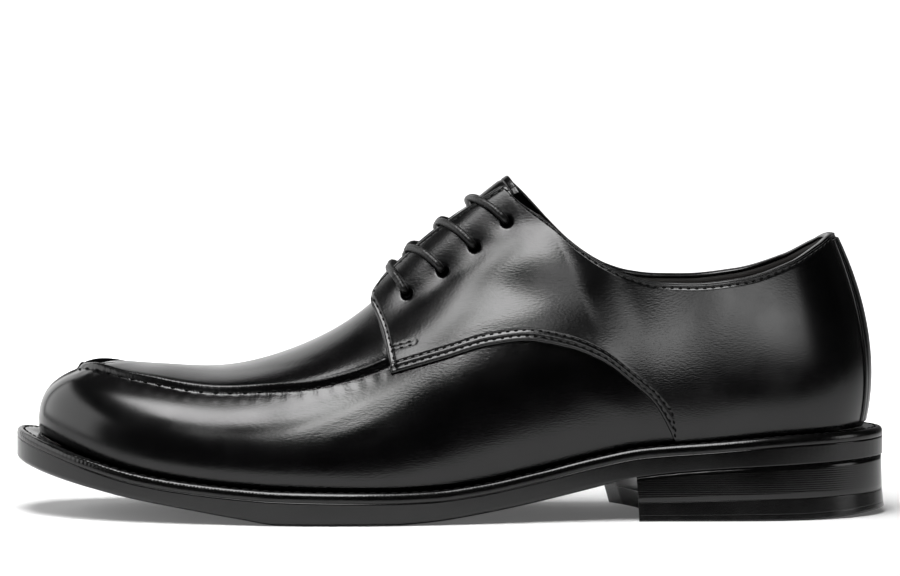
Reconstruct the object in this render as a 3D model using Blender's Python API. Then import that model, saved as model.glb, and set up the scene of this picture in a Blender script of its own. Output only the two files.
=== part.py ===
"""Left apron-toe derby shoe: hollow leather upper on a shaped last, welted sole and stacked heel.

The toe points to -X and the heel to +X, the outer (lateral) side faces -Y, and the shoe stands on Z = 0.
Sizes are in millimetres, and become metres where a mesh is made.
"""
import math
from collections import namedtuple

import bmesh
import bpy
import numpy as np
from mathutils import Vector

MM = 0.001

# Driving dimensions
LAST_LENGTH = 287.1
BALL_WIDTH = 91.0
INSTEP_HEIGHT = 113.4
TOE_X = -143.4
BOX_SHIFT_Y = 1.0
SEAT_GAP = 0.3

# Leather and sole thicknesses
VAMP_WALL = 1.8
QUARTER_WALL = 2.4
QUARTER_STEP = 1.4
FACING_LIFT = 4.1
WELT_THICKNESS = 3.4
WELT_INSIDE = 8.0
WELT_EDGE_ROUND = 0.9
SOLE_EDGE_ROUND = 1.6
SOLE_EDGE_INSET = 3.5
INSOLE_RISE = 2.8
INSOLE_CLEARANCE = 2.8
LACE_RADIUS = 1.25

# One row for each section of the last, from the toe to the back of the heel.
# foot and top are shares of the length, lateral, medial, top_mid, top_half, flare, crown and ledge
# shares of the ball width, top_z and wall shares of the instep height, all in percent; dip is in degrees.
Section = namedtuple("Section", "foot lateral medial top top_mid top_half top_z wall flare crown dip ledge")
LAST = [
    Section(0.0, 7.7, 7.7, 11.2, 6.0, 0.0, 45.6, 15.0, 3.0, 25.5, 0, 8.8),
    Section(1.5, -9.9, 24.2, 11.6, 6.0, 0.0, 45.6, 15.2, 3.2, 26.0, 0, 8.4),
    Section(5.4, -24.2, 34.1, 12.8, 6.0, 0.0, 45.4, 16.0, 3.6, 27.0, 0, 7.6),
    Section(12.3, -36.8, 42.3, 16.0, 5.5, 0.0, 45.0, 17.5, 4.2, 28.0, 0, 7.0),
    Section(22.0, -45.6, 47.8, 22.8, 4.4, 0.0, 44.9, 19.0, 5.0, 29.0, 0, 6.6),
    Section(32.5, -51.1, 48.9, 31.5, 3.3, 0.0, 50.8, 22.0, 6.0, 27.0, 0, 6.6),
    Section(43.0, -50.0, 42.3, 39.6, 1.6, 0.0, 62.6, 26.0, 6.0, 24.0, 0, 6.4),
    Section(53.4, -44.5, 32.4, 47.0, 0.5, 0.0, 80.5, 35.0, 12.0, 17.0, 0, 5.8),
    Section(64.0, -37.4, 26.9, 54.6, 0.0, 0.0, 96.8, 39.0, 14.5, 13.0, 0, 5.2),
    Section(69.0, -34.8, 26.5, 58.4, 0.0, 0.0, 103.2, 37.0, 13.5, 13.0, 10, 5.2),
    Section(75.5, -32.6, 27.1, 68.0, 0.0, 15.0, 107.0, 28.0, 9.0, 24.0, 64, 5.8),
    Section(85.0, -31.3, 29.7, 82.0, 0.0, 25.0, 99.0, 21.0, 7.0, 28.0, 82, 6.6),
    Section(92.5, -26.9, 26.9, 90.0, 0.0, 20.0, 94.5, 19.0, 6.7, 27.0, 77, 7.0),
    Section(97.7, -15.9, 16.2, 93.9, 0.0, 10.5, 91.5, 18.5, 6.7, 27.0, 68, 7.4),
    Section(99.6, 0.0, 0.0, 94.9, 0.0, 0.0, 90.5, 21.0, 6.8, 27.0, 60, 9.0),
]

# Height of the welt's top and of the outsole's underside along the shoe: toe spring, tread, arch, seat
SoleRow = namedtuple("SoleRow", "x top under")
SOLE = [
    SoleRow(-152, 29.8, 18.2),
    SoleRow(-140, 26.0, 14.9),
    SoleRow(-125, 21.2, 11.3),
    SoleRow(-108, 16.9, 7.8),
    SoleRow(-90, 14.2, 4.8),
    SoleRow(-72, 12.5, 1.9),
    SoleRow(-58, 11.7, 0.0),
    SoleRow(-20, 11.2, 0.0),
    SoleRow(-6, 11.6, 0.9),
    SoleRow(10, 13.5, 3.2),
    SoleRow(30, 17.5, 7.0),
    SoleRow(50, 22.2, 11.6),
    SoleRow(66, 25.2, 15.6),
    SoleRow(90, 27.0, 17.9),
    SoleRow(120, 29.2, 19.4),
    SoleRow(152, 30.2, 20.7),
]

# Lines on the upper as they show from the side
LinePoint = namedtuple("LinePoint", "x z")
COLLAR_LINE = [
    LinePoint(-40, 160), LinePoint(10, 122), LinePoint(22.3, 110.3), LinePoint(34.3, 101.4),
    LinePoint(43.4, 93.8), LinePoint(51.9, 88.3), LinePoint(60.3, 84.5), LinePoint(71.6, 81.5),
    LinePoint(83.0, 81.1), LinePoint(100.4, 82.9), LinePoint(117.8, 88.5), LinePoint(128.0, 94.2),
    LinePoint(133.0, 97.0), LinePoint(150.0, 98.0),
]
MEDIAL_COLLAR_LINE = [
    LinePoint(-40, 160), LinePoint(10, 125), LinePoint(22, 114.5), LinePoint(28, 108.3),
    LinePoint(34, 101.6), LinePoint(41, 94.2), LinePoint(48, 88.6), LinePoint(55, 84.8),
    LinePoint(63, 82.4), LinePoint(72, 81.3), LinePoint(83.0, 81.1), LinePoint(100.4, 82.9),
    LinePoint(117.8, 88.5), LinePoint(128.0, 94.2), LinePoint(133.0, 97.0), LinePoint(150.0, 98.0),
]
QUARTER_LINE = [
    LinePoint(-30, 48.5), LinePoint(-19.3, 51.5), LinePoint(-3.1, 56.0), LinePoint(13.9, 60.8),
    LinePoint(26.0, 62.2), LinePoint(39.7, 60.0), LinePoint(51.6, 55.5), LinePoint(63.0, 47.0),
    LinePoint(70.0, 40.5), LinePoint(76.3, 29.0), LinePoint(84.0, 8.0), LinePoint(160.0, 0.0),
]

# Place of the raised apron seam: distance back from the toe, and share of the way up the last
SeamRow = namedtuple("SeamRow", "along rise")
APRON_SEAM = [
    SeamRow(0, 0.72), SeamRow(14, 0.742), SeamRow(33, 0.698), SeamRow(56, 0.635),
    SeamRow(80, 0.59), SeamRow(99, 0.535), SeamRow(130, 0.505),
]
SEAM_HALF_WIDTH = 1.7
SEAM_HEIGHT = 1.5
SEAM_ROOT = -0.9
SEAM_SHOULDER_WIDTH = 0.9
SEAM_SHOULDER_HEIGHT = 0.35
SEAM_CREST_WIDTH = 0.35

# Throat, facings and tongue, as distances back from the toe and shares of the way up
QUARTER_FRONT = 123.6
QUARTER_FOOT_RISE = 0.008
FACING_LIFT_START = 0.64
FACING_LIFT_FULL = 0.86
FACING_FADE_START_X = 23.0
FACING_FADE_END_X = 50.0
FACING_GAP_FRONT = 7.0
FACING_GAP_TOP = 9.4
FACING_CORNER = 11.0
FACING_CORNER_DROP = 0.15
THROAT_START_X = -17.0
THROAT_OPEN_X = -7.0
LIFT_AT_WALL_EDGE = 0.7
COLLAR_STEP_RISE = 0.012
TONGUE_FRONT = 127.0
TONGUE_TOP = 185.5
TONGUE_EDGE_RISE = 0.815
TONGUE_EDGE_THICKNESS = 1.2
TONGUE_PADDING = 0.8
TONGUE_GAP = 0.35
BACK_STRIP_HALF = 6.0
BACK_STRIP_STEP = 0.7
BACK_STRIP_ROOT = -0.6
BACK_STRIP_MARGIN = 0.02
BACK_STRIP_COLUMNS = 4

# Lace holes as they show from the side, front pair first
LACE_HOLES = [LinePoint(-15.2, 77.5), LinePoint(-2.8, 85.5), LinePoint(8.3, 93.6), LinePoint(19.5, 102.1)]
LACE_HOLE_RADIUS = 1.9
LACE_HOLE_DEPTH = 9.0
LACE_CLEARANCE = 0.4

# Places of a lace crossing on its way to the pair in front, as shares of the way
STRAND_BEND = 0.20
STRAND_OVER_EDGE = 0.42
STRAND_CROSS = 0.58
STRAND_DIVE = 0.74
STRAND_DIVE_RISE = 0.975

# Heel: a stacked block with a hollow, leaning breast over a wearing layer
HEEL_FRONT_X = 45.0
BREAST_LATERAL = (65.9, -33.0)
BREAST_MEDIAL = (58.6, 26.0)
BREAST_HOLLOW = 6.5
BREAST_LEAN = math.radians(12.0)
BREAST_CUTTER_HEIGHT = 90.0
HEEL_TOP_INSET = 0.5
HEEL_BOTTOM_INSET = 0.1
TOP_PIECE_FLARE = -0.6
TOP_PIECE_HEIGHT = 6.4
TOP_PIECE_SLOPE = 0.02
HEEL_ROLL_START_X = 122.0
HEEL_ROLL_RISE = 2.2
HEEL_ROLL_POWER = 1.5
HEEL_BACK_X = 151.5

# Fineness of the faceted surfaces
UPPER_COLUMNS = 48
UPPER_ROWS = 10
QUARTER_COLUMNS = 32
QUARTER_ROWS = 9
SEAM_COLUMNS = 26
TONGUE_COLUMNS = 13
TONGUE_HALF_ROWS = 5
SOLE_STATIONS = 42
HEEL_STATIONS = 22
ROUND_SIDES = 12
BREAST_SIDES = 96
ROUTE_STEPS = 4
END_CROWDING = 0.65
SOLVER_STEPS = 34
SOLVER_STRIDE = 10
NUDGE = 0.5
RISE_NUDGE = 0.004
RISE_MOST = 0.985
LEAST_RUN = 0.02
MERGE_DISTANCE = 0.00001

# Colour, roughness and metallic value of each material
Finish = namedtuple("Finish", "colour roughness metallic")
FINISHES = {
    "polished_leather": Finish((0.012, 0.012, 0.013), 0.25, 0.0),
    "sole_leather": Finish((0.010, 0.010, 0.011), 0.40, 0.0),
    "heel_leather": Finish((0.012, 0.012, 0.013), 0.38, 0.0),
    "heel_rubber": Finish((0.014, 0.014, 0.014), 0.65, 0.0),
    "lining_leather": Finish((0.020, 0.018, 0.017), 0.60, 0.0),
    "lace_cotton": Finish((0.010, 0.010, 0.011), 0.70, 0.0),
}


def read_smooth(x, xs, ys):
    """Cubic reading with no overshoot between the known places."""
    step = np.diff(xs)
    rise = np.diff(ys) / step
    slope = np.zeros_like(ys)
    slope[0] = rise[0]
    slope[-1] = rise[-1]
    same_way = rise[:-1] * rise[1:] > 0
    harmonic = 2 * rise[:-1] * rise[1:] / np.where(same_way, rise[:-1] + rise[1:], 1.0)
    slope[1:-1] = np.where(same_way, harmonic, 0.0)
    x = np.clip(np.asarray(x, float), xs[0], xs[-1])
    i = np.clip(np.searchsorted(xs, x) - 1, 0, len(xs) - 2)
    u = (x - xs[i]) / step[i]
    start = ys[i] * (1 + 2 * u) * (1 - u) ** 2 + slope[i] * step[i] * u * (1 - u) ** 2
    end = ys[i + 1] * u * u * (3 - 2 * u) + slope[i + 1] * step[i] * u * u * (u - 1)
    return start + end


def read_table(x, table, key, value):
    """Smooth reading of one column of a table along another."""
    xs = np.array([getattr(row, key) for row in table], float)
    ys = np.array([getattr(row, value) for row in table], float)
    return read_smooth(x, xs, ys)


def smooth_step(x, start, end):
    u = np.clip((np.asarray(x, float) - start) / (end - start), 0.0, 1.0)
    return u * u * (3 - 2 * u)


def welt_top(x):
    return read_table(x, SOLE, "x", "top")


def sole_under(x):
    return read_table(x, SOLE, "x", "under")


def collar_height(side, x):
    """Height of the collar's edge, which falls more steeply behind the facing on the medial side."""
    line = MEDIAL_COLLAR_LINE if side > 0 else COLLAR_LINE
    return read_table(x, line, "x", "z")


def quarter_height(x):
    return read_table(x, QUARTER_LINE, "x", "z")


def apron_rise(along):
    return read_table(along, APRON_SEAM, "along", "rise")


class Last:
    """The last as a closed loop of sections, each a cubic arc from the feather line to the ridge or ring."""

    FOOT_X, FOOT_Y, TOP_X, TOP_MID, TOP_HALF, TOP_Z, WALL, FLARE, CROWN, DIP, LEDGE = range(11)
    FOOT_WEIGHT = 0.65
    DIP_FADE_POWER = 4

    def __init__(self):
        lateral = np.array([self.section_values(row, -1) for row in LAST])
        medial = np.array([self.section_values(row, 1) for row in LAST])
        steps = 0.5 * (self.chords(lateral) + self.chords(medial))
        self.values = np.concatenate([lateral[::-1], medial[1:-1]])
        self.knots = np.concatenate([[0.0], np.cumsum(np.concatenate([steps[::-1], steps]))])
        self.row_places = np.concatenate([[0.0], np.cumsum(steps)])
        self.row_halves = np.abs(medial[:, self.TOP_HALF])
        self.half = self.knots[len(LAST) - 1]
        self.bends = self.spline_bends()

    def section_values(self, row, side):
        width = BALL_WIDTH / 100
        height = INSTEP_HEIGHT / 100
        length = LAST_LENGTH / 100
        foot_y = row.lateral if side < 0 else row.medial
        return [
            TOE_X + row.foot * length, foot_y * width + BOX_SHIFT_Y,
            TOE_X + row.top * length, row.top_mid * width + BOX_SHIFT_Y,
            side * row.top_half * width, row.top_z * height, row.wall * height,
            row.flare * width, row.crown * width, math.radians(row.dip), row.ledge * width,
        ]

    def chords(self, values):
        foot = values[:, self.FOOT_X:self.FOOT_Y + 1]
        top = values[:, self.TOP_X:self.TOP_MID + 1]
        middle = self.FOOT_WEIGHT * foot + (1 - self.FOOT_WEIGHT) * top
        return np.linalg.norm(np.diff(middle, axis=0), axis=1)

    def spline_bends(self):
        """Second derivatives of the periodic cubic spline through the sections."""
        count = len(self.values)
        gaps = np.diff(self.knots)
        matrix = np.zeros((count, count))
        target = np.zeros_like(self.values)
        for i in range(count):
            before = (i - 1) % count
            after = (i + 1) % count
            matrix[i, before] += gaps[before]
            matrix[i, i] += 2 * (gaps[before] + gaps[i])
            matrix[i, after] += gaps[i]
            rise_after = (self.values[after] - self.values[i]) / gaps[i]
            rise_before = (self.values[i] - self.values[before]) / gaps[before]
            target[i] = 6 * (rise_after - rise_before)
        return np.linalg.solve(matrix, target)

    def columns(self, side, along):
        """Section values at a distance back from the toe, on the lateral (-1) or medial (1) side."""
        at = np.mod(self.half + side * np.asarray(along, float), self.knots[-1])
        count = len(self.values)
        i = np.clip(np.searchsorted(self.knots, at, side="right") - 1, 0, count - 1)
        j = (i + 1) % count
        gap = (self.knots[i + 1] - self.knots[i])[..., None]
        u = (at - self.knots[i])[..., None]
        v = gap - u
        bend_i = self.bends[i]
        bend_j = self.bends[j]
        cubic = (bend_i * v ** 3 + bend_j * u ** 3) / (6 * gap)
        start = self.values[i] / gap - bend_i * gap / 6
        end = self.values[j] / gap - bend_j * gap / 6
        return cubic + start * v + end * u

    def outward(self, side, along):
        """Level direction out of the feather line."""
        ahead = self.columns(side, along + NUDGE)[..., :2]
        behind = self.columns(side, along - NUDGE)[..., :2]
        tangent = (ahead - behind) * side
        tangent /= np.linalg.norm(tangent, axis=-1, keepdims=True)
        level = np.zeros_like(tangent[..., :1])
        return np.concatenate([-tangent[..., 1:2], tangent[..., 0:1], level], -1)

    def ridge_slope(self, side, along):
        ahead = self.columns(side, along + NUDGE)
        behind = self.columns(side, along - NUDGE)
        run = ahead[..., self.TOP_X] - behind[..., self.TOP_X]
        rise = ahead[..., self.TOP_Z] - behind[..., self.TOP_Z]
        moving = np.abs(run) > LEAST_RUN
        return np.clip(np.where(moving, rise / np.where(moving, run, 1.0), 0.0), -1.0, 1.0)

    def ring_half(self, along):
        """Half width of the ring over the ankle, nothing where the sections close on the ridge.

        Past the back of the heel it is negative, because the other side begins there.
        """
        past_heel = along > self.half
        inside = np.where(past_heel, 2 * self.half - along, np.abs(along))
        return read_smooth(inside, self.row_places, self.row_halves) * np.where(past_heel, -1.0, 1.0)

    def point(self, side, along, rise):
        """Point of the outer surface, rise 0 at the feather line and 1 at the ridge."""
        along, rise = np.broadcast_arrays(np.asarray(along, float), np.asarray(rise, float))
        c = self.columns(side, along)
        out = self.outward(side, along)
        foot_z = welt_top(c[..., self.FOOT_X]) + SEAT_GAP
        foot = np.stack([c[..., self.FOOT_X], c[..., self.FOOT_Y], foot_z], -1)
        half = side * self.ring_half(along)
        top = np.stack([c[..., self.TOP_X], c[..., self.TOP_MID] + half, c[..., self.TOP_Z]], -1)
        up = np.zeros_like(foot)
        up[..., 2] = 1.0
        dip = c[..., self.DIP][..., None]
        lay = out.copy()
        fade = np.cos(c[..., self.DIP]) ** self.DIP_FADE_POWER
        lay[..., 2] = out[..., 0] * self.ridge_slope(side, along) * fade
        low = foot + up * c[..., self.WALL][..., None] + out * c[..., self.FLARE][..., None]
        high = top + c[..., self.CROWN][..., None] * (np.cos(dip) * lay - np.sin(dip) * up)
        t = rise[..., None]
        return foot * (1 - t) ** 3 + 3 * low * t * (1 - t) ** 2 + 3 * high * t * t * (1 - t) + top * t ** 3

    def normal(self, side, along, rise):
        along, rise = np.broadcast_arrays(np.asarray(along, float), np.asarray(rise, float))
        inner = np.clip(rise, RISE_NUDGE, RISE_MOST)
        length_way = self.point(side, along + NUDGE, inner) - self.point(side, along - NUDGE, inner)
        rise_way = self.point(side, along, inner + RISE_NUDGE) - self.point(side, along, inner - RISE_NUDGE)
        normal = np.cross(length_way, rise_way) * -side
        normal /= np.linalg.norm(normal, axis=-1, keepdims=True)
        slope = self.ridge_slope(side, along)
        ridge = np.stack([-slope, np.zeros_like(slope), np.ones_like(slope)], -1)
        ridge /= np.linalg.norm(ridge, axis=-1, keepdims=True)
        return np.where((rise >= 1.0)[..., None], ridge, normal)

    def raised(self, side, along, rise, height):
        """Point at a height above the outer surface."""
        return self.point(side, along, rise) + self.normal(side, along, rise) * np.asarray(height)[..., None]

    def edge(self, side, along, inset):
        """Plan of the sole's edge, moved in by an inset."""
        c = self.columns(side, along)
        out = self.outward(side, along)[..., :2]
        foot = c[..., :2]
        return foot + out * (c[..., self.LEDGE] - inset)[..., None]

    def ledge(self, side, along):
        return self.columns(side, along)[..., self.LEDGE]


last = Last()


def facing_lift(side, along):
    """Most that the quarter rises over the tongue, fading out behind the facings."""
    top_x = last.columns(side, along)[..., Last.TOP_X]
    return FACING_LIFT * (1 - smooth_step(top_x, FACING_FADE_START_X, FACING_FADE_END_X))


def quarter_height_above(side, along, rise):
    """Height of the quarters' outer face over the last: a step, and the lift of the facings."""
    lift = facing_lift(side, along) * smooth_step(rise, FACING_LIFT_START, FACING_LIFT_FULL)
    return QUARTER_STEP + lift


def lift_start_rise(side, along):
    """Share of the way up where a facing leaves the inner wall."""
    share = np.clip(LIFT_AT_WALL_EDGE / np.maximum(facing_lift(side, along), LIFT_AT_WALL_EDGE), 0.0, 1.0)
    climb = 0.5 - np.sin(np.arcsin(1 - 2 * share) / 3)
    leaving = FACING_LIFT_START + (FACING_LIFT_FULL - FACING_LIFT_START) * climb
    return np.where(share < 1.0, leaving, 1.0)


def quarter_point(side, along, rise, sink=0.0):
    return last.raised(side, along, rise, quarter_height_above(side, along, rise) - sink)


def solve_rise(side, along, is_above):
    """Share of the way up each section where a line is reached."""
    low = np.zeros_like(along)
    high = np.ones_like(along)
    for _ in range(SOLVER_STEPS):
        middle = 0.5 * (low + high)
        above = is_above(quarter_point(side, along, middle))
        low = np.where(above, low, middle)
        high = np.where(above, middle, high)
    return 0.5 * (low + high)


def facing_gap(x):
    share = smooth_step(x, LACE_HOLES[0].x, LACE_HOLES[-1].x)
    return FACING_GAP_FRONT + (FACING_GAP_TOP - FACING_GAP_FRONT) * share


def quarter_low(side, along):
    rise = solve_rise(side, along, lambda p: p[..., 2] > quarter_height(p[..., 0]))
    return np.maximum(rise, QUARTER_FOOT_RISE)


def quarter_high(side, along):
    """Upper edge of the quarters: the facing beside the throat, then the collar."""
    collar = solve_rise(side, along, lambda p: p[..., 2] > collar_height(side, p[..., 0]))
    middle = last.columns(side, along)[..., Last.TOP_MID]
    facing = solve_rise(side, along, lambda p: np.abs(p[..., 1] - middle) < facing_gap(p[..., 0]))
    facing = np.where(last.columns(side, along)[..., Last.TOP_X] < FACING_FADE_END_X, facing, 1.0)
    to_front = np.clip(1 - (along - QUARTER_FRONT) / FACING_CORNER, 0.0, 1.0)
    rounding = FACING_CORNER_DROP * (1 - np.sqrt(1 - to_front ** 2))
    return np.minimum(collar, facing - rounding)


def vamp_high(side, along):
    """Upper edge of the inner wall: closed over the vamp, open at the throat, just under the collar."""
    top_x = last.columns(side, along)[..., Last.TOP_X]
    collar = quarter_high(side, along) - COLLAR_STEP_RISE
    opening = smooth_step(top_x, THROAT_START_X, THROAT_OPEN_X)
    throat = 1 - (1 - lift_start_rise(side, along)) * opening
    beside_throat = np.where(opening > 0, np.minimum(throat, collar), 1.0)
    return np.where(top_x < FACING_FADE_END_X, beside_throat, collar)


def make_material(name):
    finish = FINISHES[name]
    material = bpy.data.materials.new(name)
    material.use_nodes = True
    shader = material.node_tree.nodes["Principled BSDF"]
    shader.inputs["Base Color"].default_value = (*finish.colour, 1.0)
    shader.inputs["Roughness"].default_value = finish.roughness
    shader.inputs["Metallic"].default_value = finish.metallic
    return material


def add_object(name, mesh, collection, material=None):
    """Object from an edited mesh, with doubles merged and faces pointing out."""
    bmesh.ops.remove_doubles(mesh, verts=mesh.verts, dist=MERGE_DISTANCE)
    bmesh.ops.recalc_face_normals(mesh, faces=mesh.faces)
    data = bpy.data.meshes.new(name)
    mesh.to_mesh(data)
    mesh.free()
    data.shade_smooth()
    piece = bpy.data.objects.new(name, data)
    collection.objects.link(piece)
    if material:
        data.materials.append(material)
    return piece


def add_helper(name, mesh, cutters):
    """Hidden solid that is joined to, or cut from, a piece."""
    helper = add_object(name, mesh, cutters)
    helper.hide_render = True
    helper.display_type = "WIRE"
    return helper


def combine(piece, helper, operation):
    modifier = piece.modifiers.new(helper.name, "BOOLEAN")
    modifier.operation = operation
    modifier.solver = "EXACT"
    modifier.object = helper


def corners(mesh, points):
    """Mesh corners for an array of points in millimetres, in the array's own layout."""
    flat = [mesh.verts.new(Vector(point) * MM) for point in points.reshape(-1, 3)]
    layout = np.empty(len(flat), object)
    layout[:] = flat
    return layout.reshape(points.shape[:-1])


def add_sheet(mesh, outer, inner, low_rim=True, high_rims=None, end_rims=True):
    """Wall between two surfaces of the same layout, columns by rows."""
    front = corners(mesh, outer)
    back = corners(mesh, inner)
    columns, rows = front.shape
    for i in range(columns - 1):
        for j in range(rows - 1):
            mesh.faces.new((front[i, j], front[i + 1, j], front[i + 1, j + 1], front[i, j + 1]))
            mesh.faces.new((back[i, j], back[i, j + 1], back[i + 1, j + 1], back[i + 1, j]))
        if low_rim:
            mesh.faces.new((front[i, 0], back[i, 0], back[i + 1, 0], front[i + 1, 0]))
        if high_rims is None or high_rims[i]:
            mesh.faces.new((front[i, -1], front[i + 1, -1], back[i + 1, -1], back[i, -1]))
    if end_rims:
        for i in (0, columns - 1):
            for j in range(rows - 1):
                mesh.faces.new((front[i, j], front[i, j + 1], back[i, j + 1], back[i, j]))


def add_loft(mesh, rings, closed=False):
    """Skin over rings of equal layout, closed on itself or capped at both ends."""
    loops = corners(mesh, rings)
    count, around = loops.shape
    for k in range(count if closed else count - 1):
        after = (k + 1) % count
        for i in range(around):
            j = (i + 1) % around
            mesh.faces.new((loops[k, i], loops[k, j], loops[after, j], loops[after, i]))
    if not closed:
        mesh.faces.new(loops[0, ::-1])
        mesh.faces.new(loops[-1])


def add_plate(mesh, levels):
    """Solid through levels that each hold a lateral and a medial edge, capped by strips across."""
    lateral = [corners(mesh, level[0]) for level in levels]
    medial = [corners(mesh, level[1]) for level in levels]
    stations = len(lateral[0])
    for k in range(len(levels) - 1):
        for i in range(stations - 1):
            mesh.faces.new((lateral[k][i], lateral[k][i + 1], lateral[k + 1][i + 1], lateral[k + 1][i]))
            mesh.faces.new((medial[k][i], medial[k + 1][i], medial[k + 1][i + 1], medial[k][i + 1]))
        for i in (0, stations - 1):
            across = (levels[k][0][i] - levels[k][1][i]) ** 2
            if across.sum() > SEAT_GAP ** 2:
                mesh.faces.new((lateral[k][i], medial[k][i], medial[k + 1][i], lateral[k + 1][i]))
    for k in (0, len(levels) - 1):
        for i in range(stations - 1):
            mesh.faces.new((lateral[k][i], medial[k][i], medial[k][i + 1], lateral[k][i + 1]))


def stations_along(count, start=0.0):
    """Distances back from the toe to the heel, closer together at both ends."""
    share = np.linspace(0.0, 1.0, count)
    eased = share - END_CROWDING * np.sin(2 * math.pi * share) / (2 * math.pi)
    return start + (last.half - start) * eased


def level(stations, inset, height):
    """One level of a plate: the edge moved in by an inset, at a height read along the shoe."""
    pair = []
    for side in (-1, 1):
        own_inset = inset(side, stations) if callable(inset) else inset
        plan = last.edge(side, stations, own_inset)
        pair.append(np.concatenate([plan, height(plan[:, 0])[:, None]], 1))
    return pair


def inside_feather(distance):
    return lambda side, stations: last.ledge(side, stations) + distance


def outsole_top(x):
    return welt_top(x) - WELT_THICKNESS - SEAT_GAP


def sole_edge_bottom(x):
    """Lower edge of the sole's side, rounded up from the underside except under the heel seat."""
    return sole_under(x) + SOLE_EDGE_ROUND * (1 - smooth_step(x, HEEL_FRONT_X, BREAST_LATERAL[0]))


def make_outsole(parts):
    stations = stations_along(SOLE_STATIONS)
    mesh = bmesh.new()
    add_plate(mesh, [
        level(stations, 0.0, outsole_top),
        level(stations, 0.0, sole_edge_bottom),
        level(stations, SOLE_EDGE_INSET, sole_under),
    ])
    return add_object("outsole", mesh, parts, make_material("sole_leather"))


def make_welt(parts):
    stations = stations_along(SOLE_STATIONS)

    def ring(inset, height):
        lateral, medial = level(stations, inset, height)
        return np.concatenate([lateral[:-1], medial[:0:-1]])

    mesh = bmesh.new()
    add_loft(mesh, np.array([
        ring(0.0, lambda x: welt_top(x) - WELT_THICKNESS),
        ring(0.0, lambda x: welt_top(x) - WELT_EDGE_ROUND),
        ring(WELT_EDGE_ROUND, welt_top),
        ring(inside_feather(WELT_INSIDE), welt_top),
        ring(inside_feather(WELT_INSIDE), lambda x: welt_top(x) - WELT_THICKNESS),
    ]), closed=True)
    return add_object("welt", mesh, parts, make_material("sole_leather"))


def make_insole(parts):
    stations = stations_along(SOLE_STATIONS)
    wide = inside_feather(INSOLE_CLEARANCE)
    narrow = inside_feather(WELT_INSIDE + SEAT_GAP)
    mesh = bmesh.new()
    add_plate(mesh, [
        level(stations, wide, lambda x: welt_top(x) + INSOLE_RISE),
        level(stations, wide, lambda x: welt_top(x) + SEAT_GAP),
        level(stations, narrow, lambda x: welt_top(x) + SEAT_GAP),
        level(stations, narrow, lambda x: outsole_top(x) + SEAT_GAP),
    ])
    return add_object("insole", mesh, parts, make_material("lining_leather"))


def top_piece_top(x):
    return TOP_PIECE_HEIGHT + TOP_PIECE_SLOPE * (x - BREAST_LATERAL[0])


def heel_ground(x):
    """Underside of the heel: flat, and rolled up a little at the back."""
    share = np.clip((x - HEEL_ROLL_START_X) / (HEEL_BACK_X - HEEL_ROLL_START_X), 0.0, 1.0)
    return HEEL_ROLL_RISE * share ** HEEL_ROLL_POWER


def make_breast_cutter(cutters):
    """Upright round bar, leaning back, whose side hollows the front of the heel."""
    lateral = Vector(BREAST_LATERAL)
    medial = Vector(BREAST_MEDIAL)
    chord = medial - lateral
    radius = ((chord.length / 2) ** 2 + BREAST_HOLLOW ** 2) / (2 * BREAST_HOLLOW)
    forward = Vector((-chord.y, chord.x)).normalized()
    centre = (lateral + medial) / 2 + forward * (radius - BREAST_HOLLOW)
    mesh = bmesh.new()
    bmesh.ops.create_cone(mesh, cap_ends=True, segments=BREAST_SIDES, radius1=radius * MM,
                          radius2=radius * MM, depth=BREAST_CUTTER_HEIGHT * MM)
    cutter = add_helper("breast_cutter", mesh, cutters)
    cutter.location = Vector((centre.x, centre.y + BOX_SHIFT_Y, 0.0)) * MM
    cutter.rotation_euler = (0.0, -BREAST_LEAN, 0.0)
    return cutter


def make_heel(parts, cutter):
    whole = stations_along(SOLE_STATIONS)
    front = np.interp(HEEL_FRONT_X, last.columns(-1, whole)[:, Last.FOOT_X], whole)
    stations = stations_along(HEEL_STATIONS, front)
    stack = bmesh.new()
    add_plate(stack, [
        level(stations, HEEL_TOP_INSET, lambda x: sole_under(x) - SEAT_GAP),
        level(stations, HEEL_BOTTOM_INSET, lambda x: top_piece_top(x) + SEAT_GAP),
    ])
    wear = bmesh.new()
    add_plate(wear, [
        level(stations, HEEL_BOTTOM_INSET, top_piece_top),
        level(stations, TOP_PIECE_FLARE, heel_ground),
    ])
    pieces = [
        add_object("heel_stack", stack, parts, make_material("heel_leather")),
        add_object("top_piece", wear, parts, make_material("heel_rubber")),
    ]
    for piece in pieces:
        combine(piece, cutter, "DIFFERENCE")
    return pieces


def make_vamp_wall(parts):
    """Inner wall of the whole upper, closed over the vamp and open at throat, collar and sole."""
    along = stations_along(UPPER_COLUMNS)
    mesh = bmesh.new()
    for side in (-1, 1):
        high = vamp_high(side, along)
        rise = np.linspace(0.0, 1.0, UPPER_ROWS)[None, :] * high[:, None]
        place = np.broadcast_to(along[:, None], rise.shape)
        outer = last.raised(side, place, rise, np.zeros_like(rise))
        inner = last.raised(side, place, rise, np.full_like(rise, -VAMP_WALL))
        inner[:, 0, 2] = outer[:, 0, 2]
        is_open = high < 1.0
        add_sheet(mesh, outer, inner, high_rims=is_open[:-1] | is_open[1:], end_rims=False)
    return add_object("upper", mesh, parts, make_material("polished_leather"))


def make_quarters(cutters):
    """Both quarters in one wall round the heel, a step over the vamp and lifted at the facings."""
    stretch = stations_along(QUARTER_COLUMNS, QUARTER_FRONT)
    outer = []
    inner = []
    for side, along in ((-1, stretch), (1, stretch[-2::-1])):
        low = quarter_low(side, along)
        high = quarter_high(side, along)
        share = np.linspace(0.0, 1.0, QUARTER_ROWS)[None, :]
        rise = low[:, None] + (high - low)[:, None] * share
        place = np.broadcast_to(along[:, None], rise.shape)
        outer.append(quarter_point(side, place, rise))
        inner.append(quarter_point(side, place, rise, QUARTER_WALL))
    mesh = bmesh.new()
    add_sheet(mesh, np.concatenate(outer), np.concatenate(inner))
    return add_helper("quarters", mesh, cutters)


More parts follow.
